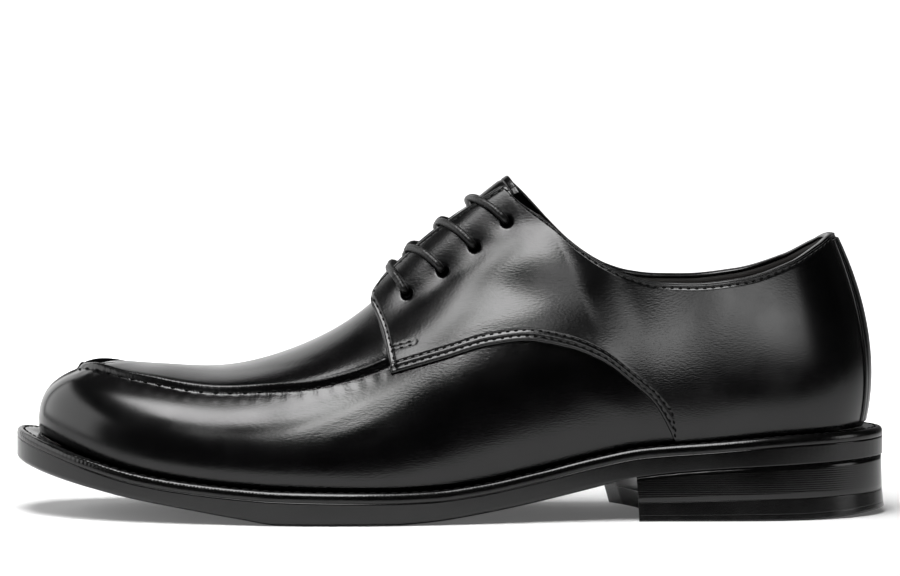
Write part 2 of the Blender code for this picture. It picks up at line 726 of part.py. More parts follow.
def make_apron_seam(cutters):
    """Raised seam that runs round the apron from facing to facing."""
    stretch = np.linspace(QUARTER_FRONT + SEAM_HALF_WIDTH, 0.0, SEAM_COLUMNS)
    shoulder = SEAM_SHOULDER_WIDTH * SEAM_HALF_WIDTH
    shoulder_height = SEAM_SHOULDER_HEIGHT * SEAM_HEIGHT
    crest = SEAM_CREST_WIDTH * SEAM_HALF_WIDTH
    profile = np.array([
        (-SEAM_HALF_WIDTH, SEAM_ROOT), (-shoulder, shoulder_height), (-crest, SEAM_HEIGHT),
        (crest, SEAM_HEIGHT), (shoulder, shoulder_height), (SEAM_HALF_WIDTH, SEAM_ROOT),
    ])
    rings = []
    for side, along in ((-1, stretch), (1, stretch[-2::-1])):
        rise = apron_rise(along)
        centre = last.point(side, along, rise)
        normal = last.normal(side, along, rise)
        across = last.point(side, along, rise + RISE_NUDGE) - last.point(side, along, rise - RISE_NUDGE)
        across /= np.linalg.norm(across, axis=-1, keepdims=True)
        sideways = across[:, None] * profile[None, :, :1]
        upwards = normal[:, None] * profile[None, :, 1:]
        rings.append(centre[:, None] + sideways + upwards)
    mesh = bmesh.new()
    add_loft(mesh, np.concatenate(rings))
    return add_helper("apron_seam", mesh, cutters)


def make_back_strip(cutters):
    """Narrow strip over the joint of the quarters at the back of the heel."""
    stretch = last.half - np.linspace(BACK_STRIP_HALF, 0.0, BACK_STRIP_COLUMNS)
    outer = []
    inner = []
    for side, along in ((-1, stretch), (1, stretch[-2::-1])):
        low = quarter_low(side, along) + BACK_STRIP_MARGIN
        high = quarter_high(side, along) - BACK_STRIP_MARGIN
        rise = low[:, None] + (high - low)[:, None] * np.linspace(0.0, 1.0, QUARTER_ROWS)[None, :]
        place = np.broadcast_to(along[:, None], rise.shape)
        outer.append(quarter_point(side, place, rise, -BACK_STRIP_STEP))
        inner.append(quarter_point(side, place, rise, -BACK_STRIP_ROOT))
    mesh = bmesh.new()
    add_sheet(mesh, np.concatenate(outer), np.concatenate(inner))
    return add_helper("back_strip", mesh, cutters)


def find_hole(hole):
    """Place on the lateral facing that shows at a point of the side view."""
    start_along = QUARTER_FRONT + 0.5 * (hole.z - 0.5 * INSTEP_HEIGHT)
    place = np.array([start_along, TONGUE_EDGE_RISE])
    steps = np.array([NUDGE, RISE_NUDGE])
    target = np.array([hole.x, hole.z])
    stride = SOLVER_STRIDE * steps
    for _ in range(SOLVER_STEPS):
        here = quarter_point(-1, place[0], place[1])[[0, 2]]
        change = np.zeros((2, 2))
        for k in range(2):
            moved = place.copy()
            moved[k] += steps[k]
            change[:, k] = (quarter_point(-1, moved[0], moved[1])[[0, 2]] - here) / steps[k]
        place = place + np.clip(np.linalg.solve(change, target - here), -stride, stride)
    return place


def make_lace_hole_cutter(cutters, holes):
    mesh = bmesh.new()
    for along, rise in holes:
        for side in (-1, 1):
            axis = Vector(last.normal(side, along, rise))
            centre = Vector(quarter_point(side, along, rise, QUARTER_WALL / 2)) * MM
            turn = Vector((0.0, 0.0, 1.0)).rotation_difference(axis).to_matrix().to_4x4()
            turn.translation = centre
            bmesh.ops.create_cone(mesh, cap_ends=True, segments=ROUND_SIDES, radius1=LACE_HOLE_RADIUS * MM,
                                  radius2=LACE_HOLE_RADIUS * MM, depth=LACE_HOLE_DEPTH * MM, matrix=turn)
    return add_helper("lace_hole_cutter", mesh, cutters)


def make_upper(parts, cutters, holes):
    upper = make_vamp_wall(parts)
    for helper in (make_apron_seam(cutters), make_quarters(cutters), make_back_strip(cutters)):
        combine(upper, helper, "UNION")
    combine(upper, make_lace_hole_cutter(cutters, holes), "DIFFERENCE")
    return upper


def make_tongue(parts):
    along = np.linspace(TONGUE_FRONT, TONGUE_TOP, TONGUE_COLUMNS)
    climb = np.linspace(TONGUE_EDGE_RISE, 1.0, TONGUE_HALF_ROWS)
    outer = []
    inner = []
    for side, rise in ((-1, climb), (1, climb[-2::-1])):
        from_ridge = (1 - rise) / (1 - TONGUE_EDGE_RISE)
        thickness = TONGUE_EDGE_THICKNESS + TONGUE_PADDING * (1 - from_ridge ** 2)
        place = np.broadcast_to(along[:, None], (len(along), len(rise)))
        height = np.broadcast_to(thickness[None, :], place.shape)
        outer.append(last.raised(side, place, rise[None, :], TONGUE_GAP + height))
        inner.append(last.raised(side, place, rise[None, :], np.full_like(place, TONGUE_GAP)))
    mesh = bmesh.new()
    add_sheet(mesh, np.concatenate(outer, 1), np.concatenate(inner, 1))
    return add_object("tongue", mesh, parts, make_material("polished_leather"))


def smooth_route(points):
    """Evenly rounded path through the points of a lace strand."""
    points = np.array(points)
    padded = np.concatenate([2 * points[:1] - points[1:2], points, 2 * points[-1:] - points[-2:-1]])
    route = []
    for k in range(1, len(padded) - 2):
        before, start, end, after = padded[k - 1:k + 3]
        square = 2 * before - 5 * start + 4 * end - after
        cube = 3 * start - before - 3 * end + after
        for u in np.linspace(0.0, 1.0, ROUTE_STEPS, endpoint=False):
            route.append(start + 0.5 * ((end - before) * u + square * u ** 2 + cube * u ** 3))
    route.append(points[-1])
    return np.array(route)


def lace_tube(name, route):
    """Round cord along a route, as a closed mesh."""
    curve = bpy.data.curves.new(name, "CURVE")
    curve.dimensions = "3D"
    curve.bevel_depth = LACE_RADIUS * MM
    curve.bevel_resolution = 2
    curve.use_fill_caps = True
    spline = curve.splines.new("POLY")
    spline.points.add(len(route) - 1)
    for point, place in zip(spline.points, route):
        point.co = (*(Vector(place) * MM), 1.0)
    cord = bpy.data.objects.new(name, curve)
    bpy.context.scene.collection.objects.link(cord)
    bpy.context.view_layer.update()
    solid = bpy.data.meshes.new_from_object(cord.evaluated_get(bpy.context.evaluated_depsgraph_get()))
    bpy.data.objects.remove(cord)
    mesh = bmesh.new()
    mesh.from_mesh(solid)
    bpy.data.meshes.remove(solid)
    return mesh


def over_facing(side, along, rise):
    """Centre of a lace that lies on the facing."""
    return quarter_point(side, along, rise, -(LACE_RADIUS + LACE_CLEARANCE))


def facing_edge(side, along):
    return quarter_high(side, np.array([float(along)]))[0]


def lace_bar_route(hole):
    along, rise = hole
    edge = facing_edge(-1, along)
    middle = last.raised(-1, along, 1.0, QUARTER_STEP + FACING_LIFT + LACE_RADIUS)
    near = [over_facing(-1, along, r) for r in (rise, 0.5 * (rise + edge), edge)]
    far = [over_facing(1, along, r) for r in (edge, 0.5 * (rise + edge), rise)]
    return smooth_route(near + [middle] + far)


def lace_crossing_route(side, hole, hole_before):
    """Strand from a hole, over its facing's edge and down into the gap, towards the pair in front."""
    along, rise = hole
    run = along - hole_before[0]
    bend = along - STRAND_BEND * run
    over = along - STRAND_OVER_EDGE * run
    cross = along - STRAND_CROSS * run
    dive = along - STRAND_DIVE * run
    top = QUARTER_STEP + FACING_LIFT
    sunk = TONGUE_GAP + TONGUE_EDGE_THICKNESS + TONGUE_PADDING + LACE_RADIUS + LACE_CLEARANCE
    return smooth_route([
        over_facing(side, along, rise),
        over_facing(side, bend, 0.5 * (rise + facing_edge(side, along))),
        over_facing(side, over, facing_edge(side, over)),
        last.raised(side, cross, 1.0, top),
        last.raised(-side, dive, STRAND_DIVE_RISE, sunk),
    ])


def make_laces(parts, cutters, holes):
    cotton = make_material("lace_cotton")
    laces = [add_object("lace_bar_1", lace_tube("lace_bar_1", lace_bar_route(holes[0])), parts, cotton)]
    for number in range(1, len(holes)):
        name = f"lace_cross_{number + 1}"
        routes = [lace_crossing_route(side, holes[number], holes[number - 1]) for side in (-1, 1)]
        strand = add_object(name, lace_tube(name, routes[0]), parts, cotton)
        mate = add_helper(f"{name}_mate", lace_tube(f"{name}_mate", routes[1]), cutters)
        combine(strand, mate, "UNION")
        laces.append(strand)
    return laces


def main():
    for old in list(bpy.data.objects):
        bpy.data.objects.remove(old, do_unlink=True)
    parts = bpy.data.collections.new("dress_shoe")
    cutters = bpy.data.collections.new("cutters")
    for collection in (parts, cutters):
        bpy.context.scene.collection.children.link(collection)
    holes = [find_hole(hole) for hole in LACE_HOLES]
    make_outsole(parts)
    make_welt(parts)
    make_heel(parts, make_breast_cutter(cutters))
    make_upper(parts, cutters, holes)
    make_tongue(parts)
    make_insole(parts)
    make_laces(parts, cutters, holes)


main()
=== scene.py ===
"""Looks of a left apron-toe derby: polished black leather, welted sole and stacked heel, on a pale floor.

The toe points to -X and the heel to +X, the outer (lateral) side faces -Y, and the shoe stands on Z = 0.
Sizes are in millimetres, and become metres where a mesh is made.
"""

import math
from collections import namedtuple

import bmesh
import bpy
import numpy as np
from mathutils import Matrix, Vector


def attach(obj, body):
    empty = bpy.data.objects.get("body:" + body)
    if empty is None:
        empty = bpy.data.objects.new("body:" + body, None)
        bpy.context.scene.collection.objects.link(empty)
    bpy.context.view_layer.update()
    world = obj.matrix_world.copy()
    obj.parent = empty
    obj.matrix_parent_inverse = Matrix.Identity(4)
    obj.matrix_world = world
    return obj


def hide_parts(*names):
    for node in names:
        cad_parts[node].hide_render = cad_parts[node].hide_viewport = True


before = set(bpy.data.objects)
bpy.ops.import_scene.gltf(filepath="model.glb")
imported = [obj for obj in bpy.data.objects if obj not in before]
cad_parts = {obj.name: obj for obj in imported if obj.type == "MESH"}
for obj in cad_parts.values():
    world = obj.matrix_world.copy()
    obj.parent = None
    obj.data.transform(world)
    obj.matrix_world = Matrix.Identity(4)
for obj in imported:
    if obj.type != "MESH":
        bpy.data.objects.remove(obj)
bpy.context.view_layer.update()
BODY = "root"
MM = 0.001

# Driving dimensions, the same as the solids have
LAST_LENGTH = 287.1
BALL_WIDTH = 91.0
INSTEP_HEIGHT = 113.4
TOE_X = -143.4
BOX_SHIFT_Y = 1.0
SEAT_GAP = 0.3
JOINT_GAP = 0.04
VAMP_WALL = 1.8
QUARTER_STEP = 1.4
FACING_LIFT = 4.1
WELT_THICKNESS = 3.4
WELT_INSIDE = 8.0
SOLE_EDGE_ROUND = 1.6
SOLE_EDGE_INSET = 3.5
INSOLE_RISE = 2.8
INSOLE_CLEARANCE = 2.8
LACE_RADIUS = 1.25
CORD_RADIUS = 1.30

# One row for each section of the last, from the toe to the back of the heel.
# foot and top are shares of the length, lateral, medial, top_mid, top_half, flare, crown and ledge
# shares of the ball width, top_z and wall shares of the instep height, all in percent; dip is in degrees.
Section = namedtuple("Section", "foot lateral medial top top_mid top_half top_z wall flare crown dip ledge")
LAST = [
    Section(0.0, 7.7, 7.7, 11.2, 6.0, 0.0, 45.6, 15.0, 3.0, 25.5, 0, 8.8),
    Section(1.5, -9.9, 24.2, 11.6, 6.0, 0.0, 45.6, 15.2, 3.2, 26.0, 0, 8.4),
    Section(5.4, -24.2, 34.1, 12.8, 6.0, 0.0, 45.4, 16.0, 3.6, 27.0, 0, 7.6),
    Section(12.3, -36.8, 42.3, 16.0, 5.5, 0.0, 45.0, 17.5, 4.2, 28.0, 0, 7.0),
    Section(22.0, -45.6, 47.8, 22.8, 4.4, 0.0, 44.9, 19.0, 5.0, 29.0, 0, 6.6),
    Section(32.5, -51.1, 48.9, 31.5, 3.3, 0.0, 50.8, 22.0, 6.0, 27.0, 0, 6.6),
    Section(43.0, -50.0, 42.3, 39.6, 1.6, 0.0, 62.6, 26.0, 6.0, 24.0, 0, 6.4),
    Section(53.4, -44.5, 32.4, 47.0, 0.5, 0.0, 80.5, 35.0, 12.0, 17.0, 0, 5.8),
    Section(64.0, -37.4, 26.9, 54.6, 0.0, 0.0, 96.8, 39.0, 14.5, 13.0, 0, 5.2),
    Section(69.0, -34.8, 26.5, 58.4, 0.0, 0.0, 103.2, 37.0, 13.5, 13.0, 10, 5.2),
    Section(75.5, -32.6, 27.1, 68.0, 0.0, 15.0, 107.0, 28.0, 9.0, 24.0, 64, 5.8),
    Section(85.0, -31.3, 29.7, 82.0, 0.0, 25.0, 99.0, 21.0, 7.0, 28.0, 82, 6.6),
    Section(92.5, -26.9, 26.9, 90.0, 0.0, 20.0, 94.5, 19.0, 6.7, 27.0, 77, 7.0),
    Section(97.7, -15.9, 16.2, 93.9, 0.0, 10.5, 91.5, 18.5, 6.7, 27.0, 68, 7.4),
    Section(99.6, 0.0, 0.0, 94.9, 0.0, 0.0, 90.5, 21.0, 6.8, 27.0, 60, 9.0),
]

# Height of the welt's top and of the outsole's underside along the shoe: toe spring, tread, arch, seat
SoleRow = namedtuple("SoleRow", "x top under")
SOLE = [
    SoleRow(-152, 29.8, 18.2),
    SoleRow(-140, 26.0, 14.9),
    SoleRow(-125, 21.2, 11.3),
    SoleRow(-108, 16.9, 7.8),
    SoleRow(-90, 14.2, 4.8),
    SoleRow(-72, 12.5, 1.9),
    SoleRow(-58, 11.7, 0.0),
    SoleRow(-20, 11.2, 0.0),
    SoleRow(-6, 11.6, 0.9),
    SoleRow(10, 13.5, 3.2),
    SoleRow(30, 17.5, 7.0),
    SoleRow(50, 22.2, 11.6),
    SoleRow(66, 25.2, 15.6),
    SoleRow(90, 27.0, 17.9),
    SoleRow(120, 29.2, 19.4),
    SoleRow(152, 30.2, 20.7),
]

# Lines on the upper as they show from the side
LinePoint = namedtuple("LinePoint", "x z")
COLLAR_LINE = [
    LinePoint(-40, 160), LinePoint(10, 122), LinePoint(22.3, 110.3), LinePoint(34.3, 101.4),
    LinePoint(43.4, 93.8), LinePoint(51.9, 88.3), LinePoint(60.3, 84.5), LinePoint(71.6, 81.5),
    LinePoint(83.0, 81.1), LinePoint(100.4, 82.9), LinePoint(117.8, 88.5), LinePoint(128.0, 94.2),
    LinePoint(133.0, 97.0), LinePoint(150.0, 98.0),
]
MEDIAL_COLLAR_LINE = [
    LinePoint(-40, 160), LinePoint(10, 125), LinePoint(22, 114.5), LinePoint(28, 108.3),
    LinePoint(34, 101.6), LinePoint(41, 94.2), LinePoint(48, 88.6), LinePoint(55, 84.8),
    LinePoint(63, 82.4), LinePoint(72, 81.3), LinePoint(83.0, 81.1), LinePoint(100.4, 82.9),
    LinePoint(117.8, 88.5), LinePoint(128.0, 94.2), LinePoint(133.0, 97.0), LinePoint(150.0, 98.0),
]
QUARTER_LINE = [
    LinePoint(-30, 48.5), LinePoint(-19.3, 51.5), LinePoint(-3.1, 56.0), LinePoint(13.9, 60.8),
    LinePoint(26.0, 62.2), LinePoint(39.7, 60.0), LinePoint(51.6, 55.5), LinePoint(63.0, 47.0),
    LinePoint(70.0, 40.5), LinePoint(76.3, 29.0), LinePoint(84.0, 8.0), LinePoint(160.0, 0.0),
]

# Place of the raised apron seam: distance back from the toe, and share of the way up the last
SeamRow = namedtuple("SeamRow", "along rise")
APRON_SEAM = [
    SeamRow(0, 0.72), SeamRow(14, 0.742), SeamRow(33, 0.698), SeamRow(56, 0.635),
    SeamRow(80, 0.59), SeamRow(99, 0.535), SeamRow(130, 0.505),
]

# Throat, facings and tongue, as distances back from the toe and shares of the way up
QUARTER_FRONT = 123.6
QUARTER_FOOT_RISE = 0.008
FACING_LIFT_START = 0.64
FACING_LIFT_FULL = 0.86
FACING_FADE_START_X = 23.0
FACING_FADE_END_X = 50.0
FACING_GAP_FRONT = 7.0
FACING_GAP_TOP = 9.4
FACING_CORNER = 11.0
FACING_CORNER_DROP = 0.15
THROAT_START_X = -17.0
THROAT_OPEN_X = -7.0
LIFT_AT_WALL_EDGE = 0.7
COLLAR_STEP_RISE = 0.012
TONGUE_FRONT = 127.0
TONGUE_TOP = 185.5
TONGUE_EDGE_RISE = 0.815
TONGUE_EDGE_THICKNESS = 1.2
TONGUE_PADDING = 0.8
TONGUE_GAP = 0.35
BACK_STRIP_HALF = 6.0
BACK_STRIP_STEP = 0.7
BACK_STRIP_MARGIN = 0.02

# Lace holes as they show from the side, front pair first
LACE_HOLES = [LinePoint(-15.2, 77.5), LinePoint(-2.8, 85.5), LinePoint(8.3, 93.6), LinePoint(19.5, 102.1)]
LACE_CLEARANCE = 0.4
STRAND_BEND = 0.17
STRAND_OVER_EDGE = 0.34
STRAND_CROSS = 0.45
STRAND_DIVE = 0.55
STRAND_END = 0.66

# Heel: a stacked block with a hollow, leaning breast over a wearing layer
HEEL_FRONT_X = 45.0
BREAST_LATERAL = (65.9, -33.0)
BREAST_MEDIAL = (58.6, 26.0)
BREAST_HOLLOW = 6.5
BREAST_LEANS = (math.radians(5.0), math.radians(20.0))
HEEL_TOP_INSET = 0.5
HEEL_BOTTOM_INSET = 0.1
TOP_PIECE_FLARE = -0.6
TOP_PIECE_HEIGHT = 6.4
TOP_PIECE_SLOPE = 0.02
HEEL_ROLL_START_X = 122.0
HEEL_ROLL_RISE = 2.2
HEEL_ROLL_POWER = 1.5
HEEL_BACK_X = 151.5

# Solver settings of the form
SOLVER_STEPS = 34
SOLVER_STRIDE = 10
NUDGE = 0.5
RISE_NUDGE = 0.004
RISE_MOST = 0.985
LEAST_RUN = 0.02
MERGE_DISTANCE = 0.000005

# Section across the apron seam, from the vamp (below zero) to the apron: stitch row, lip, crest and groove
SeamPoint = namedtuple("SeamPoint", "across height")
SEAM_PROFILE = [
    SeamPoint(-9.0, 0.0), SeamPoint(-4.2, 0.05), SeamPoint(-3.0, 0.16), SeamPoint(-2.4, 0.40),
    SeamPoint(-1.8, 0.85), SeamPoint(-1.15, 1.42), SeamPoint(-0.55, 1.80), SeamPoint(0.0, 1.92),
    SeamPoint(0.35, 1.70), SeamPoint(0.65, 0.5), SeamPoint(0.95, -0.50), SeamPoint(1.4, -0.38),
    SeamPoint(2.2, 0.05), SeamPoint(4.5, 0.22), SeamPoint(14.0, 0.0),
]
SEAM_STITCH_ACROSS = -2.45
SEAM_STITCH_PITCH = 5.0
SEAM_FADE = (122.0, 126.0)
PUCKER_DEPTH = 0.05
PUCKER_RISE = (-9.0, -5.0)
PUCKER_FALL = (-4.2, -2.6)
GATHER_STRENGTH = 2.2
GATHER_REACH = (-9.0, -4.5)
GATHER_ALONG = (60.0, 110.0)
GATHER_LOSS = 0.8

# Stitch rows in from the edges of the quarters
EDGE_ROUND = 0.8
EDGE_END_RISE = 0.03
FAR_FROM_EDGE = 30.0
LEAST_SLANT = 0.3
QUARTER_SHEET = 1.6
LOW_STITCH_ROWS = (1.7, 3.6)
LOW_ROW_END = 216.5
SIDE_STITCH_ROW = 1.7
COLLAR_STITCH_ROW = 1.5
BAR_TACK = (LinePoint(-21.2, 59.0), LinePoint(-12.4, 61.4))
BAR_TACK_GAP = 1.5
TACK_GROOVE = 0.6
STITCH_PITCH = 2.8
STITCH_SINK = 0.28
STITCH_GROOVE = 0.38
EDGE_PUFF = 0.20

# Lace holes: recessed eyelets in a shallow dip
EYELET_RADIUS = 2.4
EYELET_SOFTNESS = 0.7
EYELET_DEPTH = 0.75
EYELET_DIP = 0.35
EYELET_DIP_REACH = 4.4
# Inner and outer radius of the painted shade that darkens the inside of each hole
EYELET_SHADE = (1.6, 2.6)

# Soft troughs (depth above zero) and ridges (below zero) of worn leather.
# along and rise give the middle, length and width the size, lean the turn in degrees up from level.
Crease = namedtuple("Crease", "side along rise length width depth lean")
VAMP_CREASES = [
    Crease(-1, 108.0, 0.30, 14.0, 3.6, 0.09, 16.0),
    Crease(-1, 115.0, 0.22, 12.0, 3.2, 0.08, 22.0),
    Crease(-1, 99.0, 0.40, 12.0, 3.2, 0.07, 8.0),
    Crease(1, 106.0, 0.30, 14.0, 3.6, 0.10, 16.0),
    Crease(1, 113.0, 0.22, 12.0, 3.2, 0.09, 22.0),
]
CREASE_SCALE_RISE = 0.5
QUARTER_CREASES = [
    Crease(-1, 170.0, 0.485, 24.0, 11.0, 0.80, -29.0),
    Crease(-1, 146.0, 0.67, 16.0, 12.0, 0.50, 3.0),
    Crease(-1, 196.0, 0.55, 14.0, 8.0, 0.20, 40.0),
    Crease(1, 173.0, 0.475, 20.0, 11.0, 0.60, -29.0),
    Crease(1, 148.0, 0.66, 20.0, 12.0, 0.50, 3.0),
    Crease(1, 190.0, 0.55, 14.0, 8.0, 0.20, 30.0),
]

# Soft ridge of the vamp under the quarters' stitched lower edge
BULGE_HEIGHT = 0.5
BULGE_BELOW = 10.0
BULGE_WIDTH = 9.0
BULGE_START = (128.0, 146.0)
BULGE_END = (182.0, 206.0)

# Camera and studio
CAMERA_PLACE = (0.0, -2.0, 0.21)
CAMERA_AIM = (0.0, 0.0, 0.078)
CAMERA_LENS = 230.4
CAMERA_SENSOR = 36.0
# A panel is brightest inside and fades over the outer share named softness.
# It lights only the pieces in lit, as flags would shade it from the rest; none named means all.
Softbox = namedtuple("Softbox", "name place aim width height radiance softness lit")
REAR_PIECES = ("quarters", "collar_binding", "back_strip", "upper_stitching")
HEEL_PIECES = ("heel_lifts", "heel_top_piece", "edged_outsole", "stitched_welt")
SOFTBOXES = [
    Softbox("top_softbox", (-0.195, -0.52, 1.25), (-0.195, -0.52, 0.0), 0.78, 1.46, 11.0, 0.35, ()),
    Softbox("toe_panel", (-1.10, 0.20, 0.50), (0.0, 0.0, 0.10), 1.90, 1.10, 1.9, 0.35, ()),
    Softbox("facing_panel", (-0.54, -0.54, 1.16), (0.0, 0.0, 0.08), 0.50, 0.56, 8.0, 0.60, ("quarters",)),
    Softbox("side_panel", (0.05, -1.25, 1.05), (0.05, 0.0, 0.08), 0.70, 0.50, 3.2, 0.80, ("quarters",)),
    Softbox("heel_panel", (0.50, -1.43, 0.40), (0.08, 0.0, 0.08), 2.30, 0.54, 4.2, 0.80, REAR_PIECES),
    Softbox("heel_side_panel", (1.20, -0.25, 0.30), (0.14, 0.0, 0.05), 0.60, 0.60, 1.8, 0.50, HEEL_PIECES),
]
FLOOR_FRONT = -4.0
FLOOR_BACK = 2.3
FLOOR_HALF = 4.0
TABLE_EDGE = (-0.23, -0.15)
SWEEP_RADIUS = 0.7
BACKDROP_TOP = 3.0
SWEEP_STEPS = 16
PAPER_SHADE = 0.9
NEAR_GLOW = (0.05, 0.5, 0.10, 1.0)
FAR_GLOW = (0.10, 1.2, 0.0, 1.0)
TOE_GLOW = (-0.30, 0.10, 1.0, 0.0)
ROOM_SHADE = 0.02


def read_smooth(x, xs, ys):
    """Cubic reading with no overshoot between the known places."""
    step = np.diff(xs)
    rise = np.diff(ys) / step
    slope = np.zeros_like(ys)
    slope[0] = rise[0]
    slope[-1] = rise[-1]
    same_way = rise[:-1] * rise[1:] > 0
    harmonic = 2 * rise[:-1] * rise[1:] / np.where(same_way, rise[:-1] + rise[1:], 1.0)
    slope[1:-1] = np.where(same_way, harmonic, 0.0)
    x = np.clip(np.asarray(x, float), xs[0], xs[-1])
    i = np.clip(np.searchsorted(xs, x) - 1, 0, len(xs) - 2)
    u = (x - xs[i]) / step[i]
    start = ys[i] * (1 + 2 * u) * (1 - u) ** 2 + slope[i] * step[i] * u * (1 - u) ** 2
    end = ys[i + 1] * u * u * (3 - 2 * u) + slope[i + 1] * step[i] * u * u * (u - 1)
    return start + end


def read_table(x, table, key, value):
    """Smooth reading of one column of a table along another."""
    xs = np.array([getattr(row, key) for row in table], float)
    ys = np.array([getattr(row, value) for row in table], float)
    return read_smooth(x, xs, ys)


def smooth_step(x, start, end):
    u = np.clip((np.asarray(x, float) - start) / (end - start), 0.0, 1.0)
    return u * u * (3 - 2 * u)


def welt_top(x):
    return read_table(x, SOLE, "x", "top")


def sole_under(x):
    return read_table(x, SOLE, "x", "under")


def collar_height(side, x):
    """Height of the collar's edge, which falls more steeply behind the facing on the medial side."""
    line = MEDIAL_COLLAR_LINE if side > 0 else COLLAR_LINE
    return read_table(x, line, "x", "z")


def quarter_height(x):
    return read_table(x, QUARTER_LINE, "x", "z")


def apron_rise(along):
    return read_table(along, APRON_SEAM, "along", "rise")


class Last:
    """The last as a closed loop of sections, each a cubic arc from the feather line to the ridge or ring."""

    FOOT_X, FOOT_Y, TOP_X, TOP_MID, TOP_HALF, TOP_Z, WALL, FLARE, CROWN, DIP, LEDGE = range(11)
    FOOT_WEIGHT = 0.65
    DIP_FADE_POWER = 4

    def __init__(self):
        lateral = np.array([self.section_values(row, -1) for row in LAST])
        medial = np.array([self.section_values(row, 1) for row in LAST])
        steps = 0.5 * (self.chords(lateral) + self.chords(medial))
        self.values = np.concatenate([lateral[::-1], medial[1:-1]])
        self.knots = np.concatenate([[0.0], np.cumsum(np.concatenate([steps[::-1], steps]))])
        self.row_places = np.concatenate([[0.0], np.cumsum(steps)])
        self.row_halves = np.abs(medial[:, self.TOP_HALF])
        self.half = self.knots[len(LAST) - 1]
        self.bends = self.spline_bends()

    def section_values(self, row, side):
        width = BALL_WIDTH / 100
        height = INSTEP_HEIGHT / 100
        length = LAST_LENGTH / 100
        foot_y = row.lateral if side < 0 else row.medial
        return [
            TOE_X + row.foot * length, foot_y * width + BOX_SHIFT_Y,
            TOE_X + row.top * length, row.top_mid * width + BOX_SHIFT_Y,
            side * row.top_half * width, row.top_z * height, row.wall * height,
            row.flare * width, row.crown * width, math.radians(row.dip), row.ledge * width,
        ]

    def chords(self, values):
        foot = values[:, self.FOOT_X:self.FOOT_Y + 1]
        top = values[:, self.TOP_X:self.TOP_MID + 1]
        middle = self.FOOT_WEIGHT * foot + (1 - self.FOOT_WEIGHT) * top
        return np.linalg.norm(np.diff(middle, axis=0), axis=1)

    def spline_bends(self):
        """Second derivatives of the periodic cubic spline through the sections."""
        count = len(self.values)
        gaps = np.diff(self.knots)
        matrix = np.zeros((count, count))
        target = np.zeros_like(self.values)
        for i in range(count):
            before = (i - 1) % count
            after = (i + 1) % count
            matrix[i, before] += gaps[before]
            matrix[i, i] += 2 * (gaps[before] + gaps[i])
            matrix[i, after] += gaps[i]
            rise_after = (self.values[after] - self.values[i]) / gaps[i]
            rise_before = (self.values[i] - self.values[before]) / gaps[before]
            target[i] = 6 * (rise_after - rise_before)
        return np.linalg.solve(matrix, target)

    def columns(self, side, along):
        """Section values at a distance back from the toe, on the lateral (-1) or medial (1) side."""
        at = np.mod(self.half + side * np.asarray(along, float), self.knots[-1])
        count = len(self.values)
        i = np.clip(np.searchsorted(self.knots, at, side="right") - 1, 0, count - 1)
        j = (i + 1) % count
        gap = (self.knots[i + 1] - self.knots[i])[..., None]
        u = (at - self.knots[i])[..., None]
        v = gap - u
        bend_i = self.bends[i]
        bend_j = self.bends[j]
        cubic = (bend_i * v ** 3 + bend_j * u ** 3) / (6 * gap)
        start = self.values[i] / gap - bend_i * gap / 6
        end = self.values[j] / gap - bend_j * gap / 6
        return cubic + start * v + end * u

    def outward(self, side, along):
        """Level direction out of the feather line."""
        ahead = self.columns(side, along + NUDGE)[..., :2]
        behind = self.columns(side, along - NUDGE)[..., :2]
        tangent = (ahead - behind) * side
        tangent /= np.linalg.norm(tangent, axis=-1, keepdims=True)
        level = np.zeros_like(tangent[..., :1])
        return np.concatenate([-tangent[..., 1:2], tangent[..., 0:1], level], -1)

    def ridge_slope(self, side, along):
        ahead = self.columns(side, along + NUDGE)
        behind = self.columns(side, along - NUDGE)
        run = ahead[..., self.TOP_X] - behind[..., self.TOP_X]
        rise = ahead[..., self.TOP_Z] - behind[..., self.TOP_Z]
        moving = np.abs(run) > LEAST_RUN
        return np.clip(np.where(moving, rise / np.where(moving, run, 1.0), 0.0), -1.0, 1.0)

    def ring_half(self, along):
        """Half width of the ring over the ankle, nothing where the sections close on the ridge.

        Past the back of the heel it is negative, because the other side begins there.
        """
        past_heel = along > self.half
        inside = np.where(past_heel, 2 * self.half - along, np.abs(along))
        return read_smooth(inside, self.row_places, self.row_halves) * np.where(past_heel, -1.0, 1.0)

    def point(self, side, along, rise):
        """Point of the outer surface, rise 0 at the feather line and 1 at the ridge."""
        along, rise = np.broadcast_arrays(np.asarray(along, float), np.asarray(rise, float))
        c = self.columns(side, along)
        out = self.outward(side, along)
        foot_z = welt_top(c[..., self.FOOT_X]) + SEAT_GAP
        foot = np.stack([c[..., self.FOOT_X], c[..., self.FOOT_Y], foot_z], -1)
        half = side * self.ring_half(along)
        top = np.stack([c[..., self.TOP_X], c[..., self.TOP_MID] + half, c[..., self.TOP_Z]], -1)
        up = np.zeros_like(foot)
        up[..., 2] = 1.0
        dip = c[..., self.DIP][..., None]
        lay = out.copy()
        fade = np.cos(c[..., self.DIP]) ** self.DIP_FADE_POWER
        lay[..., 2] = out[..., 0] * self.ridge_slope(side, along) * fade
        low = foot + up * c[..., self.WALL][..., None] + out * c[..., self.FLARE][..., None]
        high = top + c[..., self.CROWN][..., None] * (np.cos(dip) * lay - np.sin(dip) * up)
        t = rise[..., None]
        return foot * (1 - t) ** 3 + 3 * low * t * (1 - t) ** 2 + 3 * high * t * t * (1 - t) + top * t ** 3

